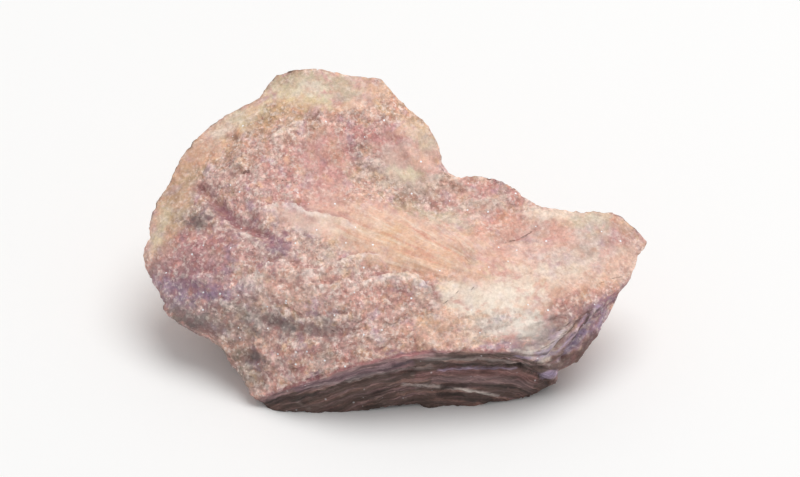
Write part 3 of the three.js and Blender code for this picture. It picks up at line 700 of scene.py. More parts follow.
# Second coats over them, washes and spots, in all parts of the face.
SECOND_COATS = [
    ("tan", (-46, 31), (13, 4), 42, 0.4), ("honey", (-58, 10), (4, 14), -18, 0.25),
    ("honey", (-34, 37), (9, 2.6), 25, 0.25), ("honey", (0, 38), (9, 3), -42, 0.3),
    ("honey", (2, 0), (16, 4), -15, 0.3), ("peach", (22, -14), (18, 3), 4, 0.35),
    ("honey", (46, 10), (12, 2), 0, 0.2), ("peach", (38, -8), (14, 3), 6, 0.4),
    ("honey", (5, -20), (14, 3), 4, 0.2), ("mauve", (-52, -5), (11, 9), -10, 0.4),
    ("purple", (-50, -8.5), (9, 4), -8, 0.35), ("mauve", (-30, -1), (7, 3), -25, 0.3),
    ("purple", (-29.4, 3), (3.4, 2), -35, 0.45), ("lilac", (-33, -3), (4, 1.2), 15, 0.3),
    ("wine", (-46, 4), (9, 5), -10, 0.25), ("grey", (-33, -16.5), (10, 3), -14, 0.4),
    ("charcoal", (-28, -16.8), (8, 1.8), -8, 0.35), ("charcoal", (-18, -16.6), (6, 1.2), -4, 0.2),
    ("charcoal", (-37, -18), (3, 2), -20, 0.5), ("mauve", (43.6, -19.6), (5, 9), -38, 0.65),
    ("grey", (38, -22), (8, 5), 20, 0.4), ("brown", (46, -23.6), (5, 3), 35, 0.45),
    ("purple", (43, -20), (4, 1.2), 48, 0.5), ("charcoal", (-36, -26.4), (4.4, 2.2), -8, 0.6),
    ("grey", (-38, -30), (3.4, 3.4), 0, 0.5), ("grey", (-44, -19), (7, 2.2), -32, 0.5),
    ("olive", (-41, -24), (4, 2.4), -55, 0.4), ("deep rose", (-18, 20), (8, 10), 0, 0.3),
    ("milk", (24, -10.2), (8.5, 2.4), 0, 0.7), ("milk", (32, -16.6), (4, 2), 0, 0.5),
    ("milk", (42, 10.8), (7, 1), -4, 0.35), ("pale pink", (-35, -6), (5, 1.4), 22, 0.5),
    ("pale pink", (-21, 6), (7, 2), -15, 0.4), ("peach", (16, -16), (8, 3), 0, 0.35),
    ("peach", (13, 17), (4, 2.4), 0, 0.35), ("pale pink", (21, 12.4), (3.4, 1.4), 0, 0.5),
    ("pale pink", (33, 3), (4, 3), 0, 0.4), ("pale pink", (-17, -3), (4, 2), 0, 0.4),
    ("pale pink", (-37, -8), (4, 2.4), 0, 0.35), ("chalk", (26, -17.4), (4, 2.4), 0, 0.7),
    ("pale pink", (44, 4), (6, 2), 0, 0.4), ("peach", (54, -3), (6, 3), 20, 0.4),
    ("coral", (-2, -10), (9, 2.4), -5, 0.25), ("mauve", (46, -14.8), (6, 1.4), 32, 0.4),
    ("purple", (51.2, -13.4), (4.4, 1.4), 45, 0.6), ("brown", (42, -16.4), (3, 2), 35, 0.5),
    ("grey", (34, -25), (6, 1.8), 8, 0.5), ("grey", (37, -18.6), (3, 1.6), 20, 0.3),
    ("frost", (-37.6, -8.4), (3.8, 2.2), 20, 0.45), ("lilac", (-40, -9), (4, 1.6), 0, 0.25),
    ("bone", (14, 18), (4, 2.4), -20, 0.5), ("pale pink", (34, 5), (4, 3.6), 0, 0.4),
    ("pale pink", (-22, 4.8), (3, 1.8), 0, 0.5), ("pale pink", (-4.4, 22), (6, 2.6), 0, 0.7),
    ("pale pink", (-7.4, 26.6), (2.8, 1.8), 0, 0.5), ("brown", (5, 16), (6, 2.4), -12, 0.4),
    ("wine", (6, 16), (4, 1.6), -8, 0.3), ("salmon", (7.4, 26), (3, 2), -40, 0.3),
    ("tan", (-24, 30.6), (5, 2.2), 10, 0.4), ("tan", (-25, 37.8), (7, 1.6), 8, 0.35),
    ("peach", (45, -7), (8, 2.4), 12, 0.55), ("salmon", (22, -14.4), (9, 2), 0, 0.3),
    ("salmon", (57, 6), (5, 3), -20, 0.3), ("honey", (4.4, 35.6), (5, 1.8), -45, 0.35),
    ("olive", (-14, 43), (2.4, 3), 0, 0.35), ("cream", (-43, 33.4), (5, 1.4), 38, 0.6),
    ("straw", (-60, 7), (1.8, 5), -15, 0.5), ("deep rose", (-53, -2), (8, 8), 0, 0.3),
    ("lilac", (-52, -3), (8, 7), 0, 0.2), ("charcoal", (-30, -17.6), (4.4, 1.5), -10, 0.5),
    ("mauve", (-22, -21.6), (5, 1.8), 0, 0.35), ("grey", (-42, -14.6), (5, 2), -20, 0.35),
    ("salmon", (-20, -27), (4, 2), 10, 0.35), ("honey", (-26, 38), (7, 1.8), 8, 0.4),
    ("tan", (-25, 31), (6, 2), 10, 0.3), ("salmon", (28, -5), (8, 2.2), -4, 0.45),
    ("peach", (26, -14.4), (7, 1.6), 0, 0.5), ("mauve", (40, -24.6), (6, 1.6), 10, 0.5),
    ("coral", (37, 7), (4, 1.8), 20, 0.3), ("wine", (48, 5), (3.4, 0.9), 40, 0.3),
    ("chalk", (51, 8.6), (2, 1.2), 0, 0.5), ("bone", (46, 1.6), (4, 0.9), 20, 0.4),
    ("wine", (44, -10.6), (4, 1.2), 20, 0.3), ("cream", (35, 10.8), (5, 1), -8, 0.5),
    ("coral", (56, 5), (4, 2.4), -30, 0.35), ("salmon", (-38, -6.6), (5, 2.4), 10, 0.5),
    ("pale pink", (-34, -11.6), (5, 1.8), 0, 0.5), ("salmon", (-28, -9), (7, 2), 0, 0.35),
    ("coral", (-30, -3), (5, 2), 10, 0.25), ("wine", (-50, -6), (7, 3), -10, 0.3),
    ("grey", (-34, -16), (6, 2.2), -12, 0.7), ("charcoal", (-36.6, -26.2), (2.2, 1), 0, 0.5),
    ("grey", (-54, -13.4), (6, 2), -28, 0.5), ("lilac", (-56, -9), (4, 2), -30, 0.3),
    ("straw", (2, 20.4), (3.4, 1), -12, 0.5), ("chalk", (12, 18.6), (3, 1), -30, 0.4),
    ("honey", (-60.6, 2), (2, 6), -6, 0.15), ("peach", (60, 6.6), (3, 2), -40, 0.6),
    ("peach", (2, 38.4), (7, 1.2), -42, 0.5), ("cream", (19, 19.8), (6, 0.9), 4, 0.5),
    ("salmon", (-14, -27), (6, 2.2), 10, 0.4), ("honey", (-31, 33), (6, 2), 30, 0.35),
    ("pale pink", (12, 5.6), (5, 1.2), -18, 0.4), ("coral", (14, -5), (6, 1.4), -10, 0.3),
    ("deep rose", (-53, -1), (8, 6), 0, 0.4), ("mauve", (-48, -2), (7, 4), 0, 0.2),
    ("pale pink", (-38.6, -7.6), (4, 2.6), 0, 0.5), ("bone", (-5, 20.8), (3.6, 2), 0, 0.5),
    ("bone", (-8, 26.4), (2, 1.6), 0, 0.5), ("salmon", (4, 16.4), (5, 2.4), -20, 0.6),
    ("peach", (0, -6), (3, 2), 0, 0.6), ("bone", (-14, -2), (4, 1.4), -20, 0.4),
    ("salmon", (-22, 4.6), (3, 2), 0, 0.5), ("chalk", (36, 6.4), (3, 2.4), 60, 0.4),
    ("chalk", (50, 4.4), (4, 2), 0, 0.4), ("cream", (46, -6), (8, 1.6), 12, 0.55),
    ("cream", (58, -1.6), (4, 3), 40, 0.4), ("charcoal", (-53, -17.4), (6, 1.2), -18, 0.6),
    ("charcoal", (-47, -19), (4, 1.2), -20, 0.5), ("wine", (-30, -18.8), (3.4, 1.2), -8, 0.4),
    ("mauve", (-27, -22), (4, 1.6), 0, 0.3), ("wine", (-3, -23.8), (6, 1.1), 10, 0.4),
    ("wine", (-27, -2.4), (3, 1.8), 0, 0.25), ("wine", (-22, -6.4), (2.6, 1.6), 0, 0.3),
    ("grey", (35, -22.8), (5, 1.2), 10, 0.4), ("peach", (7, -22.4), (4, 1.4), 0, 0.5),
    ("peach", (16, -22.4), (4, 1.2), 0, 0.4), ("straw", (-36, 36.6), (5, 1.6), 30, 0.45),
    ("milk", (26, -11.4), (7, 2.4), -4, 0.4), ("grey green", (49, 9), (3.4, 1.8), 0, 0.5),
    ("chalk", (33.6, -18), (4, 2.2), 0, 0.4), ("deep rose", (8.6, 15.4), (4, 1.6), -8, 0.5),
    ("coral", (-52, 0), (7, 4), 0, 0.25), ("pale pink", (-52, -5), (5, 2), 0, 0.3),
    ("grey", (-36, -14.8), (5, 1.6), -14, 0.5), ("charcoal", (-27, -17.2), (3.4, 1), -14, 0.3),
    ("charcoal", (-52, -15.6), (5.4, 1.3), -24, 0.5), ("grey", (-47, -17), (4, 1.4), -14, 0.4),
    ("grey", (-20, -17.6), (9, 2.6), 0, 0.4), ("charcoal", (-27, -18.4), (5, 1.4), -5, 0.3),
    ("frost", (-33, -14.6), (2, 1.4), 0, 0.45), ("mauve", (-6, -23.4), (9, 2.4), 8, 0.35),
    ("grey", (38, -21.4), (5, 2.4), 30, 0.45), ("mauve", (31, -23), (5, 1.4), 0, 0.4),
    ("mauve", (45, -17.4), (5, 2), 45, 0.4), ("purple", (53.6, -12.6), (4, 1.6), 50, 0.5),
    ("mauve", (-60.6, -5), (2, 4), 0, 0.4), ("tan", (5.4, 34.8), (6, 1.4), -50, 0.5),
    ("tan", (20, 20), (5, 1), 0, 0.5), ("tan", (57.6, 8), (5, 1.3), -42, 0.5),
    ("olive", (-27, 44.6), (4, 1.6), 0, 0.3), ("bone", (5, 17), (4, 1.6), -20, 0.4),
    ("frost", (-18, -27), (3, 2), 0, 0.3), ("frost", (-22, 5), (2.6, 1.6), 0, 0.35),
    ("frost", (0, -6.2), (2, 1.6), 0, 0.4), ("frost", (-5.4, 21.4), (2.6, 1.8), 0, 0.4),
    ("deep rose", (-20, 21), (8, 9), 0, 0.3), ("mauve", (50, 2), (8, 5), 0, 0.12),
    ("wine", (-20, 21), (9, 9), 0, 0.1), ("pale pink", (-18, 1), (11, 5), 0, 0.35),
    ("brown", (-54, 13), (3, 7), -20, 0.12),
]

# Last coats.
LAST_COATS = [
    # blushes and pale drifts
    ("coral", (27, 7.6), (6, 3), 5, 0.35), ("coral", (40, 5), (5, 3), 0, 0.3),
    ("coral", (47, -8), (7, 2.5), 15, 0.25), ("coral", (57, -2), (5, 2), 20, 0.2),
    ("coral", (19, 17.8), (6, 2), 5, 0.3), ("coral", (-12, 26), (6, 8), 0, 0.15),
    ("pale pink", (-20, -4), (14, 6), 0, 0.35), ("pale pink", (-10, -12), (13, 5), 0, 0.35),
    ("pale pink", (-23, 3.5), (9, 3), 0, 0.4), ("wine", (-24, -26), (8, 4), 10, 0.3),
    # the fold on the right: its lilacs partly painted light on lit ridges, its browns partly painted shade
    # along the underside
    ("chalk", (36, -25.4), (4, 2), 10, 0.7), ("lilac", (37, -24), (4.5, 1), 30, 0.6),
    ("grey", (40, -26.6), (4, 1.4), 15, 0.6), ("chalk", (40, -22), (4, 0.9), 50, 0.5),
    ("lilac", (44.6, -21.4), (3.5, 1), 50, 0.5), ("purple", (54.8, -10.9), (5, 1.1), 42, 0.5),
    ("mauve", (48.8, -17), (4.5, 1.8), 40, 0.6), ("lilac", (50.5, -14.6), (3, 0.8), 45, 0.6),
    ("lilac", (46.4, -20), (2.4, 1.2), 30, 0.55), ("grey", (45, -17.6), (3.5, 0.9), 35, 0.5),
    ("deep rose", (42.4, -19), (5, 0.9), 50, 0.5), ("mauve", (45, -23), (3.5, 1.6), 40, 0.6),
    ("purple", (48.5, -20), (4, 2), 50, 0.3), ("mauve", (46.6, -25), (4, 2), 20, 0.7),
    ("lilac", (51, -18), (3.5, 0.8), 55, 0.6), ("lilac", (39, -21.6), (3.6, 0.8), 50, 0.45),
    ("brown", (45, -25.4), (4, 1.2), 10, 0.8), ("lilac", (38.8, -30), (1.8, 1.5), 0, 0.7),
    ("brown", (37, -32), (3, 1.5), 30, 0.7),
]

PATCHES = FIRST_COATS + SECOND_COATS + LAST_COATS
PATCH_FADE = (1.4, 0.55)

# Ragged edges come in several kinds, so that patches on one spot differ.
RAGGED_KINDS = 5
RAGGED_SIZE = 2.6
RAGGED_GRAIN = 0.45

# Noise tints the rock one way where it is high and another where it is low: both minerals, the
# lump's size and the seed.
BROAD_MOTTLE = ("deep rose", "pale pink", 9, 56)
MOTTLES = [("wine", "bone", 3.6, 57), ("coral", "honey", 4.4, 58), ("peach", "mauve", 6.5, 59)]
BROAD_LEVELS = (0.05, 0.45)
MOTTLE_LEVELS = (0.05, 0.5)
BROAD_STRENGTH = 0.5
MOTTLE_ON_GROUND = 0.28
MOTTLE_ON_TOP = 0.12

# The rim where it is edge on: painted light in peach above, to lighten its shaded edge, and charcoal at the
# lower left.
RIM_FACING = (0.5, 0.05)
RIM_ABOVE = (-8, 4)
RIM_BELOW = (-8, -14)
RIM_LEFT = (-32, -38)
RIM_PAINTED_LIGHT = 0.7
RIM_CHARCOAL = 0.6

# A ledge's broken edge is pale, partly its own pale crystals and partly painted highlight, from just above
# its line to a little below, with a red line of painted shade above.
EDGE_BACK = (-0.4, 0.0)
EDGE_FRONT = (2.4, 0.4)
EDGE_GAPS = (-0.45, 0.1)
EDGE_SHADE_ABOVE = 0.6
EDGE_SHADE_FADE = (0.9, 0.1)
EDGE_SHADE_STRENGTH = 0.6

# The front flank, dark partly from its own layers and partly as painted shade of a side that faces down,
# away from the light: where it starts and is full below the crest, and in u at both ends.
FRONT_BELOW = (0.2, 1.2)
FRONT_LEFT = (-38, -33)
FRONT_RIGHT = (46, 38)
FRONT_WAVE = 0.4

# Its noise in bands: mineral, length, thickness and strength.
FRONT_BANDS = [("brown", 9, 0.9, 0.8), ("mauve", 11, 0.45, 0.5), ("black", 8, 0.7, 0.65)]
FRONT_LEVELS = (0.0, 0.45)

# Stripes along the crest and the front flank and round the fold: mineral, line, half width, strength.
STRIPES = [
    ("mauve", [(-33, -36.2), (-20, -31.4), (-8, -27.4), (4, -25), (12, -24.3)], 0.9, 0.6),
    ("wine", [(-32, -35), (-24, -32.2), (-17, -29.6), (-10, -27.1), (0, -25), (8, -24)], 0.45, 0.7),
    ("wine", [(8, -23.8), (18, -23.4), (28, -23.7)], 0.3, 0.5),
    ("umber", [(10, -24.8), (18, -24.6), (27, -25)], 0.4, 0.6),
    ("grey", [(8, -25.6), (17, -25.8), (26, -26.2), (33, -27.6)], 0.35, 0.5),
    ("wine", [(6, -30.2), (12, -29.2), (20, -29.2), (30, -29.6), (35, -31.4)], 1.0, 0.25),
    ("mauve", [(10, -31.4), (20, -31.2), (30, -31.6), (34, -33)], 0.8, 0.4),
    # Black along the slab groove is painted shadow in it.
    ("black", [(8, -27.2), (16, -27.6), (24, -27.7), (31, -27.6), (37, -28.2)], 0.25, 0.75),
    ("lilac", [(11, -28.6), (17, -28.3), (24, -28.3), (30, -28.4)], 0.2, 0.5),
    # Black along the fold groove is painted shadow in it.
    ("black", [(31, -28), (35, -30), (39, -33)], 0.45, 0.8),
    ("grey", [(2, -32.6), (8, -32.7), (13, -33.2), (19, -34), (26, -35.6)], 0.35, 0.75),
    ("chalk", [(15, -33.5), (20, -34.3), (25, -35.4)], 0.2, 0.45),
    ("lilac", [(37.6, -30.4), (40.2, -29.8)], 1.0, 0.7),
    ("black", [(11, -35.2), (18, -36), (24, -36.4)], 0.9, 0.8),
    ("black", [(12, -33), (20, -32.6), (30, -33)], 0.6, 0.6),
    ("grey", [(-12, -30.6), (-4, -29.2), (4, -28.2), (9, -27.8)], 0.4, 0.45),
    ("grey", [(-22, -33.2), (-12, -31.2), (-6, -30.2)], 0.3, 0.35),
    ("black", [(-32, -37), (-26, -36.2), (-20, -35)], 0.7, 0.7),
    ("purple", [(-24, -33.4), (-12, -30.2), (-4, -28.2), (4, -26.8)], 0.9, 0.2),
    # Round the fold: lilac stripes are partly painted light on its lit ridges, umber ones are partly
    # painted shade between them, and the broad umber along its lower edge is painted shade under it.
    ("chalk", [(29, -23.4), (34, -24), (38, -22.8), (41, -19.4), (43, -16)], 0.3, 0.45),
    ("umber", [(32, -24.6), (36, -25), (39.4, -23.4), (43, -19.4), (46.6, -15)], 0.25, 0.7),
    ("lilac", [(30, -25), (36, -26), (40.4, -24.4), (44.6, -19.4), (48, -15)], 0.25, 0.5),
    ("umber", [(33, -26.6), (38, -27), (42, -24.6), (45.6, -19.6), (49, -14.6)], 0.35, 0.75),
    ("lilac", [(41, -26.4), (44.6, -23), (47.6, -19), (51.6, -14)], 0.45, 0.4),
    ("umber", [(42, -25), (45.6, -22.4), (48, -18.6), (51.6, -13.2)], 0.3, 0.6),
    ("umber", [(40, -28), (44, -26.6), (47.4, -23.8), (50.2, -19.8)], 1.2, 0.75),
    ("lilac", [(43, -24), (46.4, -20.6), (49.6, -16.4)], 0.7, 0.5),
]
STRIPE_WAVE = (0.4, 0.25)
STRIPE_FADE = (1.5, 0.5)
STRIPE_RAGGED = 0.6
STRIPE_LUMP = 4

# The sides: how far the bands run and how thick they are, how much thinner the seams are, and the
# blotches' sizes and seeds.
SIDE_BAND = (26, 26, 5)
SIDE_SEAM = (1, 1, 3.5)
SIDE_BLOTCHES = [(16, 52), (12, 53), (9, 54)]

# Thin cracks: name, line and half width.
CRACKS = [
    ("wing crack", [(27.4, 3.3), (31.2, 4.2), (33.2, 5.2), (34.4, 5.9)], 0.17),
    ("cream vein", [(11.6, -12.4), (13.6, -10.8), (15.8, -9.2)], 0.12),
    ("cream vein 2", [(18, -9), (19.5, -7.8), (21, -6.2)], 0.15),
    ("squiggle", [(-41.2, 19), (-39.4, 20.6), (-37, 21)], 0.3),
    ("arc", [(-41.6, 26), (-42.2, 24), (-42, 22)], 0.3),
    ("dash", [(-30.4, 18.4), (-27.6, 18.8), (-24, 18)], 0.22),
    ("fold line 1", [(35.4, -24), (39.4, -21.6), (43, -18.4)], 0.15),
    ("fold line 2", [(36.6, -25), (41, -22.8), (45, -19)], 0.16),
    ("fold line 3", [(41.6, -24), (45.8, -19.4), (48.4, -15.6)], 0.2),
    ("fold line 4", [(38, -21), (41.6, -18), (46, -14.6)], 0.13),
    ("tip line", [(50, -7.6), (54, -6), (58, -5)], 0.13),
    ("low seam", [(-19, -17.6), (-16, -18.6), (-13, -20)], 0.15),
]
CRACK_WAVE = (0.3, 0.3)
CRACK_REACH = 12.0  # in half widths
CRACKED_FROM = 0.5  # how far onto the display face

# High grains get painted light in pale frost, and the hollows between them get painted shade in red.
RELIEF_PAINTED_LIGHT = ("frost", 0.35)
RELIEF_PAINTED_SHADE = ("wine", 0.3)
RELIEF_LEVELS = (0.04, 0.3)
SUGAR_LOST_ON_FRONT = 0.8
SUGAR_ON_SIDES = 0.45

# The left lobe has few warm grains.
COOL_STRENGTH = 0.85
COOL_LEFT = (-30, -44)
COOL_LOW = (9, 2)
COOL_WAVE = 2

# The layers that the material draws: their strength on the sides next to that on the front, how
# long and thick they are, and how they wave on the front.
LAYERS_ON_SIDES = 0.6
LAYER_RUN = 12
LAYER_THICKNESS = 0.6
FRONT_LAYER_WAVE = 0.25
FRONT_LAYER_LUMP = 6
STREAK_LENGTH = 14  # of the ridge's silk


def mineral(name):
    """A mineral's colour as light, from its colour as seen."""
    seen = np.array(MINERALS[name]) / 255
    return ((seen + CURVE_FOOT) / (1 + CURVE_FOOT)) ** CURVE_POWER


def blend(under, over, amount):
    return under + (over - under) * amount[:, None]


def lay(colour, name, amount):
    return blend(colour, mineral(name), amount)


def mottle(colour, highs, lows, field, levels, strength):
    """Tints the highs of a noise with one mineral, and its lows with another."""
    colour = lay(colour, highs, strength * ease(*levels, field))
    return lay(colour, lows, strength * ease(*levels, -field))


def lay_patches(stone, colour, ragged):
    """The ground's patches and then the others, each time with a mottle over them."""
    spread = stone.wander(SPREAD)
    u, v = stone.u + spread[:, 0], stone.v + spread[:, 1]
    fields = [rubble(stone.points, size, seed) for _, _, size, seed in MOTTLES]
    for of_ground, strength_of_mottle in ((True, MOTTLE_ON_GROUND), (False, MOTTLE_ON_TOP)):
        for index, (name, middle, reach, turn, strength) in enumerate(PATCHES):
            if (name in GROUND) == of_ground:
                far = oval_of(middle, reach, turn, u, v) + ragged[index % RAGGED_KINDS]
                colour = lay(colour, name, strength * ease(*PATCH_FADE, far))
        for (highs, lows, _, _), field in zip(MOTTLES, fields):
            colour = mottle(colour, highs, lows, field, MOTTLE_LEVELS, strength_of_mottle)
    return colour


def lay_edges(stone, colour, ragged):
    """The rim's painted light and its charcoal, the ledges' broken edges with their painted highlight and
    painted shade, and the furrows' linings, partly painted shade in the slab's and fold's grooves.
    """
    rim = ease(*RIM_FACING, stone.facing)
    # Painted light: the edge-on rim above is lightened with peach.
    colour = lay(colour, "peach", RIM_PAINTED_LIGHT * rim * ease(*RIM_ABOVE, stone.v))
    lower_left = ease(*RIM_BELOW, stone.v) * ease(*RIM_LEFT, stone.u)
    colour = lay(colour, "charcoal", RIM_CHARCOAL * rim * lower_left)
    u, v = stone.wavy(*LEDGE_WAVE)
    for _, line, _, pale in LEDGES:
        _, above, beyond = run_of(line, u, v)
        # The pale edge is partly painted highlight, and the red line above it is painted shade.
        edge = ease(*EDGE_BACK, -above) * ease(*EDGE_FRONT, -above) * np.exp(-beyond / LEDGE_END)
        colour = lay(colour, "frost", pale * edge * ease(*EDGE_GAPS, ragged))
        shadow = ease(*EDGE_SHADE_FADE, np.abs(above - EDGE_SHADE_ABOVE)) * np.exp(-beyond)
        colour = lay(colour, "wine", EDGE_SHADE_STRENGTH * pale * shadow)
    u, v = stone.wavy(*FURROW_WAVE)
    for _, line, width, _, name, strength in FURROWS:
        distance, _, _ = run_of(line, u, v)
        colour = lay(colour, name, strength * mound(distance, width))
    return colour


def paint_face(stone):
    """The display face: its mottled ground, its patches and its edges."""
    colour = np.tile(mineral("rose"), (len(stone.points), 1))
    highs, lows, size, seed = BROAD_MOTTLE
    colour = mottle(colour, highs, lows, rubble(stone.points, size, seed), BROAD_LEVELS, BROAD_STRENGTH)
    grain = RAGGED_GRAIN * stone.grain_shade
    ragged = [rubble(stone.points, RAGGED_SIZE, seed=60 + 3 * kind) + grain for kind in range(RAGGED_KINDS)]
    colour = lay_patches(stone, colour, ragged)
    return lay_edges(stone, colour, ragged[0])


def paint_front(stone):
    """The dark front flank, banded along its layers, its darkness partly painted shade."""
    below = stone.below_crest()
    colour = np.tile(mineral("umber"), (len(stone.points), 1))
    for name, length, thickness, strength in FRONT_BANDS:
        bands = rubble(flat(stone.u / length, below / thickness), 1, seed=70 + length)
        colour = lay(colour, name, strength * ease(*FRONT_LEVELS, bands))
    return colour


def paint_sides(stone):
    """The sides and back: rusty, grey and rose bands along the layers."""
    places = np.stack([stone.u, stone.v, stone.w + LAYER_LEAN_V * stone.v], 1) / SIDE_BAND
    band, seam = rubble(places, 1, seed=51), rubble(places * SIDE_SEAM, 1, seed=50)
    wide, middling, small = [rubble(stone.points, size, seed) for size, seed in SIDE_BLOTCHES]
    # Mineral, noise, where it starts and is full, strength.
    coats = [
        ("honey", band, (-0.05, 0.3), 0.65),
        ("brown", -band, (0.05, 0.4), 0.75),
        ("mauve", wide, (0.1, 0.4), 0.6),
        ("grey", middling, (0.15, 0.45), 0.6),
        ("cream", small, (0.2, 0.5), 0.6),
        ("charcoal", seam, (0.2, 0.45), 0.6),
        ("cream", -seam, (0.25, 0.5), 0.4),
    ]
    colour = np.tile(mineral("rose"), (len(stone.points), 1))
    for name, field, levels, strength in coats:
        colour = lay(colour, name, strength * ease(*levels, field))
    return colour


def draw_stripes(stone, colour):
    u, v = stone.wavy(*STRIPE_WAVE)
    for index, (name, line, width, strength) in enumerate(STRIPES):
        distance, _, _ = run_of(line, u, v)
        ragged = rubble(flat(stone.u / STRIPE_LUMP, stone.v), 1, seed=80 + index, octaves=2)
        colour = lay(colour, name, strength * ease(*STRIPE_FADE, distance / width + STRIPE_RAGGED * ragged))
    return colour


def crack_gaps(stone):
    """How far each place of the display face is from a crack, in the crack's half widths."""
    u, v = stone.wavy(*CRACK_WAVE)
    gap = np.full(len(stone.points), CRACK_REACH)
    for _, line, width in CRACKS:
        distance, _, _ = run_of(line, u, v)
        gap = np.minimum(gap, distance / width)
    return np.where(stone.seen > CRACKED_FROM, gap, CRACK_REACH)


def paint_minerals(stone):
    """Stores each vertex's colour, its minerals with some painted light and shade, and what the material
    has to know of its place.
    """
    below = stone.below_crest() + FRONT_WAVE * stone.drift[:, 0]
    front = ease(*FRONT_BELOW, below) * ease(*FRONT_LEFT, stone.u) * ease(*FRONT_RIGHT, stone.u)
    # Below the crest goes the dark front flank's paint, which is partly painted shade.
    colour = blend(paint_face(stone), paint_front(stone), front)
    colour = draw_stripes(stone, colour)
    colour = blend(paint_sides(stone), colour, np.maximum(stone.wrapped, front))

    sugar = stone.sugar * (1 - SUGAR_LOST_ON_FRONT * front)
    sugar = sugar * (SUGAR_ON_SIDES + (1 - SUGAR_ON_SIDES) * stone.wrapped)
    # Painted light on the raised relief, and painted shade in its hollows.
    for (name, strength), relief in ((RELIEF_PAINTED_LIGHT, stone.relief), (RELIEF_PAINTED_SHADE, -stone.relief)):
        colour = lay(colour, name, strength * ease(*RELIEF_LEVELS, relief) * sugar)
    left = ease(*COOL_LEFT, stone.u + COOL_WAVE * stone.drift[:, 0])
    warm = 1 - COOL_STRENGTH * stone.seen * left * ease(*COOL_LOW, stone.v)
    front_layer = FRONT_LAYER_WAVE * swell(stone.points, FRONT_LAYER_LUMP, seed=6) - below
    layer = stone.layer + (front_layer - stone.layer) * front

    store(stone.mesh, "mineral", colour)
    store(stone.mesh, "marks", crack_gaps(stone), warm)
    store(stone.mesh, "finish", sugar, stone.on_ridge(), np.maximum(LAYERS_ON_SIDES * stone.flank, front))
    store(stone.mesh, "streaks", stone.fan() / [1, STREAK_LENGTH, 1])
    store(stone.mesh, "layers", stone.u / LAYER_RUN, stone.v / LAYER_RUN, layer / LAYER_THICKNESS)


def store(mesh, name, *columns):
    """Keeps up to three numbers for each vertex, for the material to read."""
    stacked = np.column_stack(columns)
    values = np.ones((len(stacked), 4))
    values[:, : stacked.shape[1]] = stacked
    attribute = mesh.color_attributes.new(name, "FLOAT_COLOR", "POINT")
    attribute.data.foreach_set("color", values.ravel())


# ---- The material ----

# A noise runs from about 0.25 to 0.75. Levels are where a mark starts in it and where it is full.

# Silky streaks on the ridge: mineral, levels, strength.
SILK = [("coral", (0.5, 0.68), 0.55), ("cream", (0.5, 0.34), 0.6)]

# Layers edge on along the flanks: size, roughness, seed, levels, and how much darker and lighter.
LAYER_MARKS = [(1, 0.65, 0.0, (0.3, 0.7), -0.45, 0.45), (0.55, 0.7, 7.0, (0.52, 0.68), 0, 0.7)]

# Grains scattered through the rock: mineral, size, seed, levels and strength.
GRAINS = [
    ("coral", 2.4, 1.0, (0.5, 0.68), 0.42),
    ("honey", 3.2, 2.0, (0.52, 0.68), 0.4),
    ("lilac", 3.6, 3.0, (0.55, 0.7), 0.35),
    ("wine", 1.5, 4.0, (0.52, 0.72), 0.5),
    ("bone", 1.4, 5.0, (0.5, 0.66), 0.45),
    ("frost", 0.9, 6.0, (0.53, 0.61), 0.5),
]
WARM_GRAINS = ("honey", "bone")  # few of them on the left lobe
GRAIN_LEAST = 0.33  # where the rock isn't sugary at all

# Grains are weaker on dark minerals and on the flanks.
DARK_LEVELS = (0.08, 0.42)
DARK_LEAST = 0.1
FLANK_LEVELS = (0.6, 1)
FLANK_LEAST = 0.5

# Crumbs: size, seed, and how much darker or lighter they are.
CRUMBS = [(0.9, 11.0, 0.2), (2.2, 12.0, 0.12)]
CRUMB_LEVELS = (0.36, 0.64)

# The finest grain, and pale spots: size, levels, and the darkest and lightest shade.
FINE_SIZE = 0.5
FINE_LEVELS = (0.3, 0.7)
FINE_SHADES = (0.94, 1.06)
PALE_SIZE = 1.5
PALE_LEVELS = (0.5, 0.64)
PALE_SHADES = (0.99, 1.12)

# Cracks: their edge in half widths, which wobbles, and how they break off here and there.
CRACK_EDGE = (1.1, 0.4)
CRACK_WOBBLE_SIZE = 1.2
CRACK_WOBBLE_LEVELS = (0.25, 0.75)
CRACK_WOBBLE = 0.6
CRACK_BREAK_SIZE = 2.0
CRACK_BREAK_LEVELS = (0.4, 0.56)
CRACK_BREAK_LEAST = 0.3
CRACK_STRENGTH = 0.48

# A few crystals flash, painted white as a glint and made less rough: how far apart, the flash's edge as
# shares of that, and which of them.
SPARK_SPACING = 2.4
SPARK_EDGE = (0.13, 0.09)
SPARK_CHANCE = (0.68, 0.69)
SPARK_FLANK_LEVELS = (0.5, 1)
SPARK_FLANK_LEAST = 0.3

# The shader, and the bump: its strength and depth, and what the two grains add to its height.
ROCK_ROUGHNESS = 0.6
SPARK_ROUGHNESS = 0.2
ROCK_SPECULAR = 0.3
BUMP_STRENGTH = 0.8
BUMP_DEPTH = 0.4
FINE_HEIGHT = 0.4
PALE_HEIGHT = 0.5


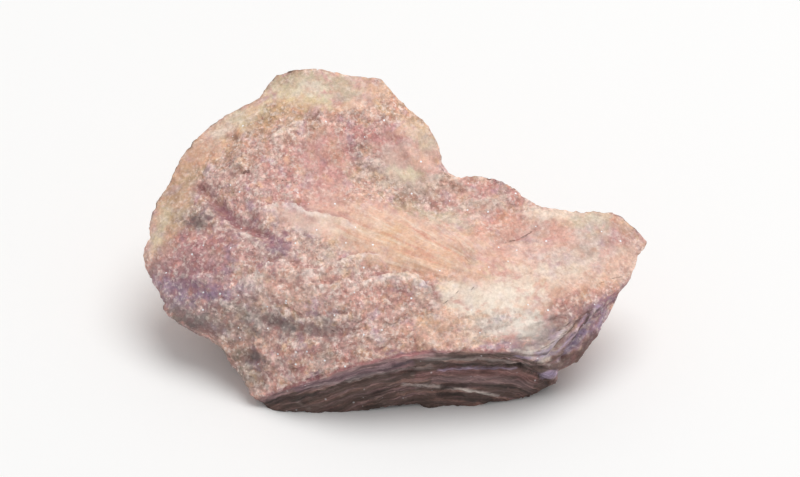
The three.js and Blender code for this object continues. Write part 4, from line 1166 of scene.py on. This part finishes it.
class Recipe:
    """A material's nodes, one line a step."""

    def __init__(self, name):
        self.material = bpy.data.materials.new(name)
        self.material.use_nodes = True
        self.tree = self.material.node_tree
        self.shader = self.tree.nodes["Principled BSDF"]
        self.place = self.tree.nodes.new("ShaderNodeTexCoord").outputs["Object"]

    def wire(self, source, socket):
        """Links a socket's source to it, or sets the number or colour that it is given."""
        if hasattr(source, "is_output"):
            self.tree.links.new(source, socket)
        else:
            socket.default_value = source

    def attribute(self, name):
        node = self.tree.nodes.new("ShaderNodeAttribute")
        node.attribute_name = name
        return node.outputs["Color"]

    def channels(self, colour):
        node = self.tree.nodes.new("ShaderNodeSeparateColor")
        self.wire(colour, node.inputs["Color"])
        return node.outputs["Red"], node.outputs["Green"], node.outputs["Blue"]

    def lightness(self, colour):
        node = self.tree.nodes.new("ShaderNodeRGBToBW")
        self.wire(colour, node.inputs["Color"])
        return node.outputs["Val"]

    def cloud(self, size, detail=3.0, roughness=0.6, seed=0.0, place=None):
        """Noise with lumps about size across, in the rock or in another space."""
        node = self.tree.nodes.new("ShaderNodeTexNoise")
        node.noise_dimensions = "4D"
        node.inputs["W"].default_value = seed
        self.wire(place or self.place, node.inputs["Vector"])
        node.inputs["Scale"].default_value = 1 / size
        node.inputs["Detail"].default_value = detail
        node.inputs["Roughness"].default_value = roughness
        return node.outputs["Fac"]

    def crystals(self, size):
        """How far from a crystal's middle, and a random colour for each crystal."""
        node = self.tree.nodes.new("ShaderNodeTexVoronoi")
        self.wire(self.place, node.inputs["Vector"])
        node.inputs["Scale"].default_value = 1 / size
        return node.outputs["Distance"], node.outputs["Color"]

    def band(self, value, levels, least=0.0, most=1.0):
        """Least below the first level and most past the second, eased between."""
        node = self.tree.nodes.new("ShaderNodeMapRange")
        node.interpolation_type = "SMOOTHSTEP"
        self.wire(value, node.inputs["Value"])
        low, high = levels
        for name, number in (("From Min", low), ("From Max", high), ("To Min", least), ("To Max", most)):
            node.inputs[name].default_value = number
        return node.outputs["Result"]

    def reckon(self, operation, first, second):
        node = self.tree.nodes.new("ShaderNodeMath")
        node.operation = operation
        self.wire(first, node.inputs[0])
        self.wire(second, node.inputs[1])
        return node.outputs["Value"]

    def times(self, first, second):
        return self.reckon("MULTIPLY", first, second)

    def plus(self, first, second):
        return self.reckon("ADD", first, second)

    def minus(self, first, second):
        return self.reckon("SUBTRACT", first, second)

    def tint(self, colour, name, amount):
        node = self.tree.nodes.new("ShaderNodeMix")
        node.data_type = "RGBA"
        under, over = [socket for socket in node.inputs if socket.type == "RGBA"]
        mixed = next(socket for socket in node.outputs if socket.type == "RGBA")
        self.wire(amount, node.inputs["Factor"])
        self.wire(colour, under)
        self.wire((*mineral(name), 1), over)
        return mixed

    def scaled(self, colour, amount):
        node = self.tree.nodes.new("ShaderNodeVectorMath")
        node.operation = "SCALE"
        self.wire(colour, node.inputs[0])
        self.wire(amount, node.inputs["Scale"])
        return node.outputs["Vector"]

    def lightened(self, colour, amount):
        return self.scaled(colour, self.plus(1.0, amount))


def draw_silk(recipe, colour, ridge):
    """Silky streaks along the pale ridge."""
    silk = recipe.cloud(1, place=recipe.attribute("streaks"))
    for name, levels, strength in SILK:
        colour = recipe.tint(colour, name, recipe.times(ridge, recipe.band(silk, levels, 0, strength)))
    return colour


def draw_layers(recipe, colour, flank):
    """Thin layers edge on along the flanks, and pale flecks in them."""
    layers = recipe.attribute("layers")
    for size, roughness, seed, levels, darker, lighter in LAYER_MARKS:
        mark = recipe.cloud(size, detail=4.0, roughness=roughness, seed=seed, place=layers)
        mark = recipe.band(mark, levels, darker, lighter)
        colour = recipe.lightened(colour, recipe.times(flank, mark))
    return colour


def scatter_grains(recipe, colour, sugar, flank, warm):
    """Grains of every hue, and dark and pale crumbs."""
    bright = recipe.band(recipe.lightness(colour), DARK_LEVELS, DARK_LEAST, 1)
    grainy = recipe.times(recipe.band(sugar, (0, 1), GRAIN_LEAST, 1), bright)
    grainy = recipe.times(grainy, recipe.band(flank, FLANK_LEVELS, 1, FLANK_LEAST))
    warmly = recipe.times(grainy, warm)
    for name, size, seed, levels, strength in GRAINS:
        grain = recipe.band(recipe.cloud(size * MM, roughness=0.55, seed=seed), levels, 0, strength)
        colour = recipe.tint(colour, name, recipe.times(warmly if name in WARM_GRAINS else grainy, grain))
    for size, seed, change in CRUMBS:
        crumbs = recipe.band(recipe.cloud(size * MM, detail=2.5, seed=seed), CRUMB_LEVELS, -change, change)
        colour = recipe.lightened(colour, recipe.times(grainy, crumbs))
    return colour


def crack_of(recipe, gap):
    """Where the thin cracks are: their edges wobble, and they fade here and there."""
    wobble = recipe.cloud(CRACK_WOBBLE_SIZE * MM, seed=8.0)
    wobble = recipe.band(wobble, CRACK_WOBBLE_LEVELS, -CRACK_WOBBLE, CRACK_WOBBLE)
    fade = recipe.cloud(CRACK_BREAK_SIZE * MM, seed=10.0)
    fade = recipe.band(fade, CRACK_BREAK_LEVELS, CRACK_BREAK_LEAST, 1)
    return recipe.times(recipe.band(recipe.plus(gap, wobble), CRACK_EDGE), fade)


def spark_of(recipe, flank):
    """Where a crystal flashes: the mask for its painted white glint and its lower roughness."""
    far, lot = recipe.crystals(SPARK_SPACING * MM)
    chance, _, _ = recipe.channels(lot)
    spark = recipe.times(recipe.band(far, SPARK_EDGE), recipe.band(chance, SPARK_CHANCE))
    return recipe.times(spark, recipe.band(flank, SPARK_FLANK_LEVELS, 1, SPARK_FLANK_LEAST))


def raise_bump(recipe, fine, pale, crack):
    bump = recipe.tree.nodes.new("ShaderNodeBump")
    bump.inputs["Strength"].default_value = BUMP_STRENGTH
    bump.inputs["Distance"].default_value = BUMP_DEPTH * MM
    height = recipe.plus(recipe.times(fine, FINE_HEIGHT), recipe.times(pale, PALE_HEIGHT))
    recipe.wire(recipe.minus(height, crack), bump.inputs["Height"])
    recipe.wire(bump.outputs["Normal"], recipe.shader.inputs["Normal"])


def sugary_rhodonite():
    recipe = Recipe("sugary_rhodonite")
    sugar, ridge, flank = recipe.channels(recipe.attribute("finish"))
    gap, warm, _ = recipe.channels(recipe.attribute("marks"))
    colour = draw_silk(recipe, recipe.attribute("mineral"), ridge)
    colour = draw_layers(recipe, colour, flank)
    colour = scatter_grains(recipe, colour, sugar, flank, warm)

    fine = recipe.cloud(FINE_SIZE * MM, detail=2.0)
    pale = recipe.cloud(PALE_SIZE * MM, detail=4.0, roughness=0.65, seed=9.0)
    pale = recipe.times(recipe.band(pale, PALE_LEVELS), sugar)
    colour = recipe.scaled(colour, recipe.band(pale, (0, 1), *PALE_SHADES))
    colour = recipe.scaled(colour, recipe.band(fine, FINE_LEVELS, *FINE_SHADES))

    crack = crack_of(recipe, gap)
    spark = spark_of(recipe, flank)
    colour = recipe.tint(colour, "umber", recipe.times(crack, CRACK_STRENGTH))
    # Painted glint: the flashing crystals are painted white.
    colour = recipe.tint(colour, "spark", spark)
    recipe.wire(colour, recipe.shader.inputs["Base Color"])
    roughness = recipe.band(spark, (0, 1), ROCK_ROUGHNESS, SPARK_ROUGHNESS)
    recipe.wire(roughness, recipe.shader.inputs["Roughness"])
    recipe.shader.inputs["Specular IOR Level"].default_value = ROCK_SPECULAR
    raise_bump(recipe, fine, pale, crack)
    return recipe.material


# ---- The specimen ----

place_camera()
hang_key_light()
fill_with_sky()
lay_floor()

rock = rough_blank()
stone = Stone(rock)
carve(stone)
paint_minerals(stone)
rock.data.materials.clear()
rock.data.materials.append(sugary_rhodonite())
select_only(rock)
bpy.ops.object.shade_smooth()

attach(rock, "root")
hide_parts("rhodonite_stone")
bpy.context.scene.view_settings.view_transform = "Standard"
